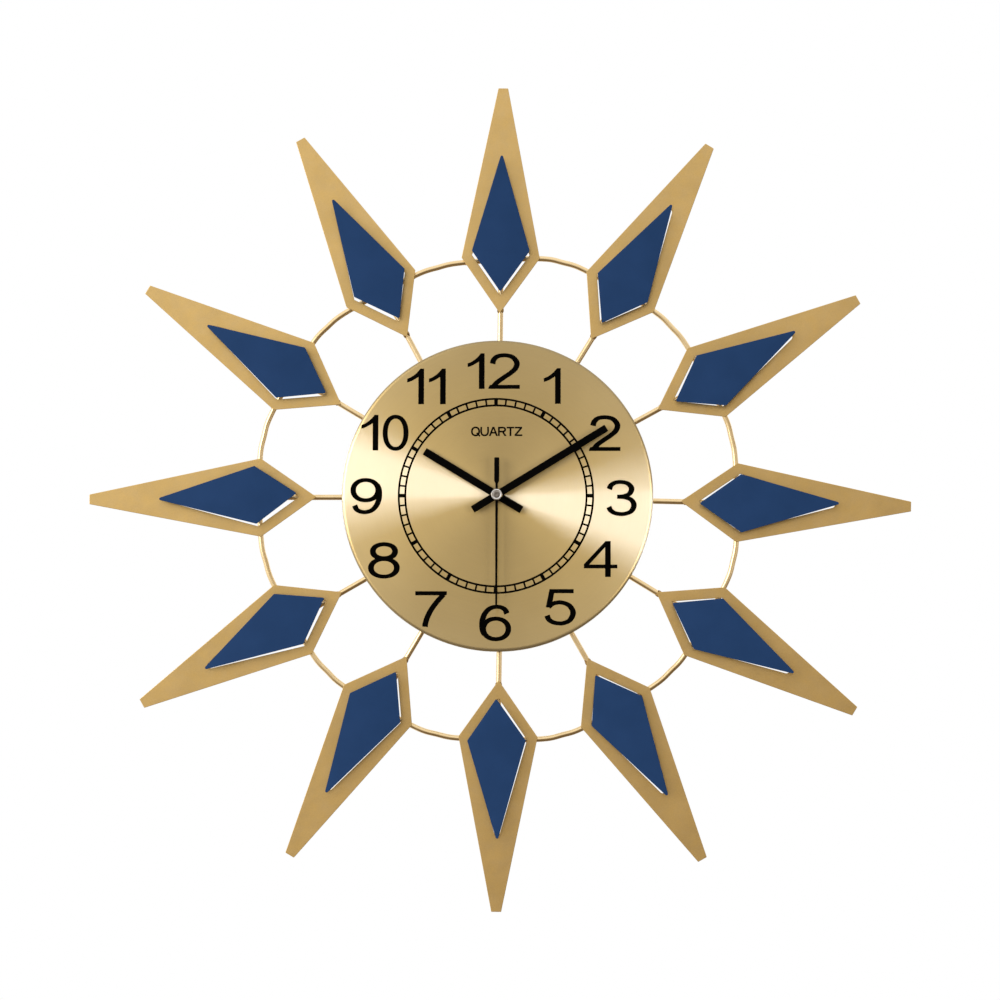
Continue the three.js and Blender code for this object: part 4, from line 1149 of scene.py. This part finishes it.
wt.links.new(bg_cam.outputs[0], mixs.inputs[2])
wt.links.new(mixs.outputs[0], out.inputs[0])


def area(name, azimuth, polar, dist, sx, sy, power, color=(1, 1, 1), spin=0.0):
    """azimuth clockwise from 12 on the dial, polar = angle from the dial's normal"""
    a, p = rad(azimuth), rad(polar)
    loc = Vector((math.sin(p) * math.sin(a), -math.cos(p), math.sin(p) * math.cos(a))) * dist
    li = bpy.data.lights.new(name, "AREA")
    li.shape = "RECTANGLE"
    li.size, li.size_y = sx, sy
    li.energy = power
    li.color = color
    ob = bpy.data.objects.new(name, li)
    scene.collection.objects.link(ob)
    # local X points outwards from the dial's axis, so sx runs radially and sy runs round
    zc = loc.normalized()
    radial = Vector((math.cos(p) * math.sin(a), math.sin(p), math.cos(p) * math.cos(a)))
    yv = zc.cross(radial).normalized()
    xv = yv.cross(zc).normalized()
    ob.matrix_world = Matrix(((xv.x, yv.x, zc.x, loc.x), (xv.y, yv.y, zc.y, loc.y), (xv.z, yv.z, zc.z, loc.z), (0, 0, 0, 1)))
    return ob


area("key", 288, 53, 2.4, 1.2, 1.2, 24)
lit_by_strips = bpy.data.collections.new("lit_by_strips")
lit_by_strips.objects.link(dial_ob)
for name, azimuth, polar, power in (("strip_left", 279, 44, 67), ("strip_right", 97, 44, 65)):
    strip_light = area(name, azimuth, polar, 2.2, 1.1, 0.86, power)
    strip_light.visible_diffuse = False
    strip_light.light_linking.receiver_collection = lit_by_strips

lit_from_sides = bpy.data.collections.new("lit_from_sides")
for ob in list(bpy.data.objects):
    if ob.type == "MESH" and ob.name.startswith(("spoke_rod_", "hoop_ring", "panel_stud_", "weld_")):
        lit_from_sides.objects.link(ob)
for name, azimuth, power in (("side_left", 275, 1.2), ("side_right", 92, 7.0)):
    side_light = area(name, azimuth, 58, 2.2, 2.4, 1.2, power)
    side_light.visible_diffuse = False
    side_light.light_linking.receiver_collection = lit_from_sides

cam_data = bpy.data.cameras.new("camera")
cam_data.sensor_width = 36.0
cam_data.lens = 98.694
cam_data.clip_start, cam_data.clip_end = 0.05, 50
cam = bpy.data.objects.new("camera", cam_data)
scene.collection.objects.link(cam)
yaw, pitch, roll = rad(-2.00130), rad(3.87906), rad(0.53602)
fwd = Vector((math.sin(yaw) * math.cos(pitch), math.cos(yaw) * math.cos(pitch), math.sin(pitch)))
right = Vector((math.cos(yaw), -math.sin(yaw), 0))
upv = right.cross(fwd)
r2 = right * math.cos(roll) + upv * math.sin(roll)
u2 = -right * math.sin(roll) + upv * math.cos(roll)
eye = Vector((1.5064 * MM, 0, -2.1331 * MM)) - fwd * 2.0
cam.matrix_world = Matrix(((r2.x, u2.x, -fwd.x, eye.x), (r2.y, u2.y, -fwd.y, eye.y), (r2.z, u2.z, -fwd.z, eye.z), (0, 0, 0, 1)))
scene.camera = cam

scene.view_settings.view_transform = "Standard"
scene.view_settings.look = "None"
scene.view_settings.exposure = 0.0
scene.view_settings.gamma = 1.0

bpy.context.view_layer.update()
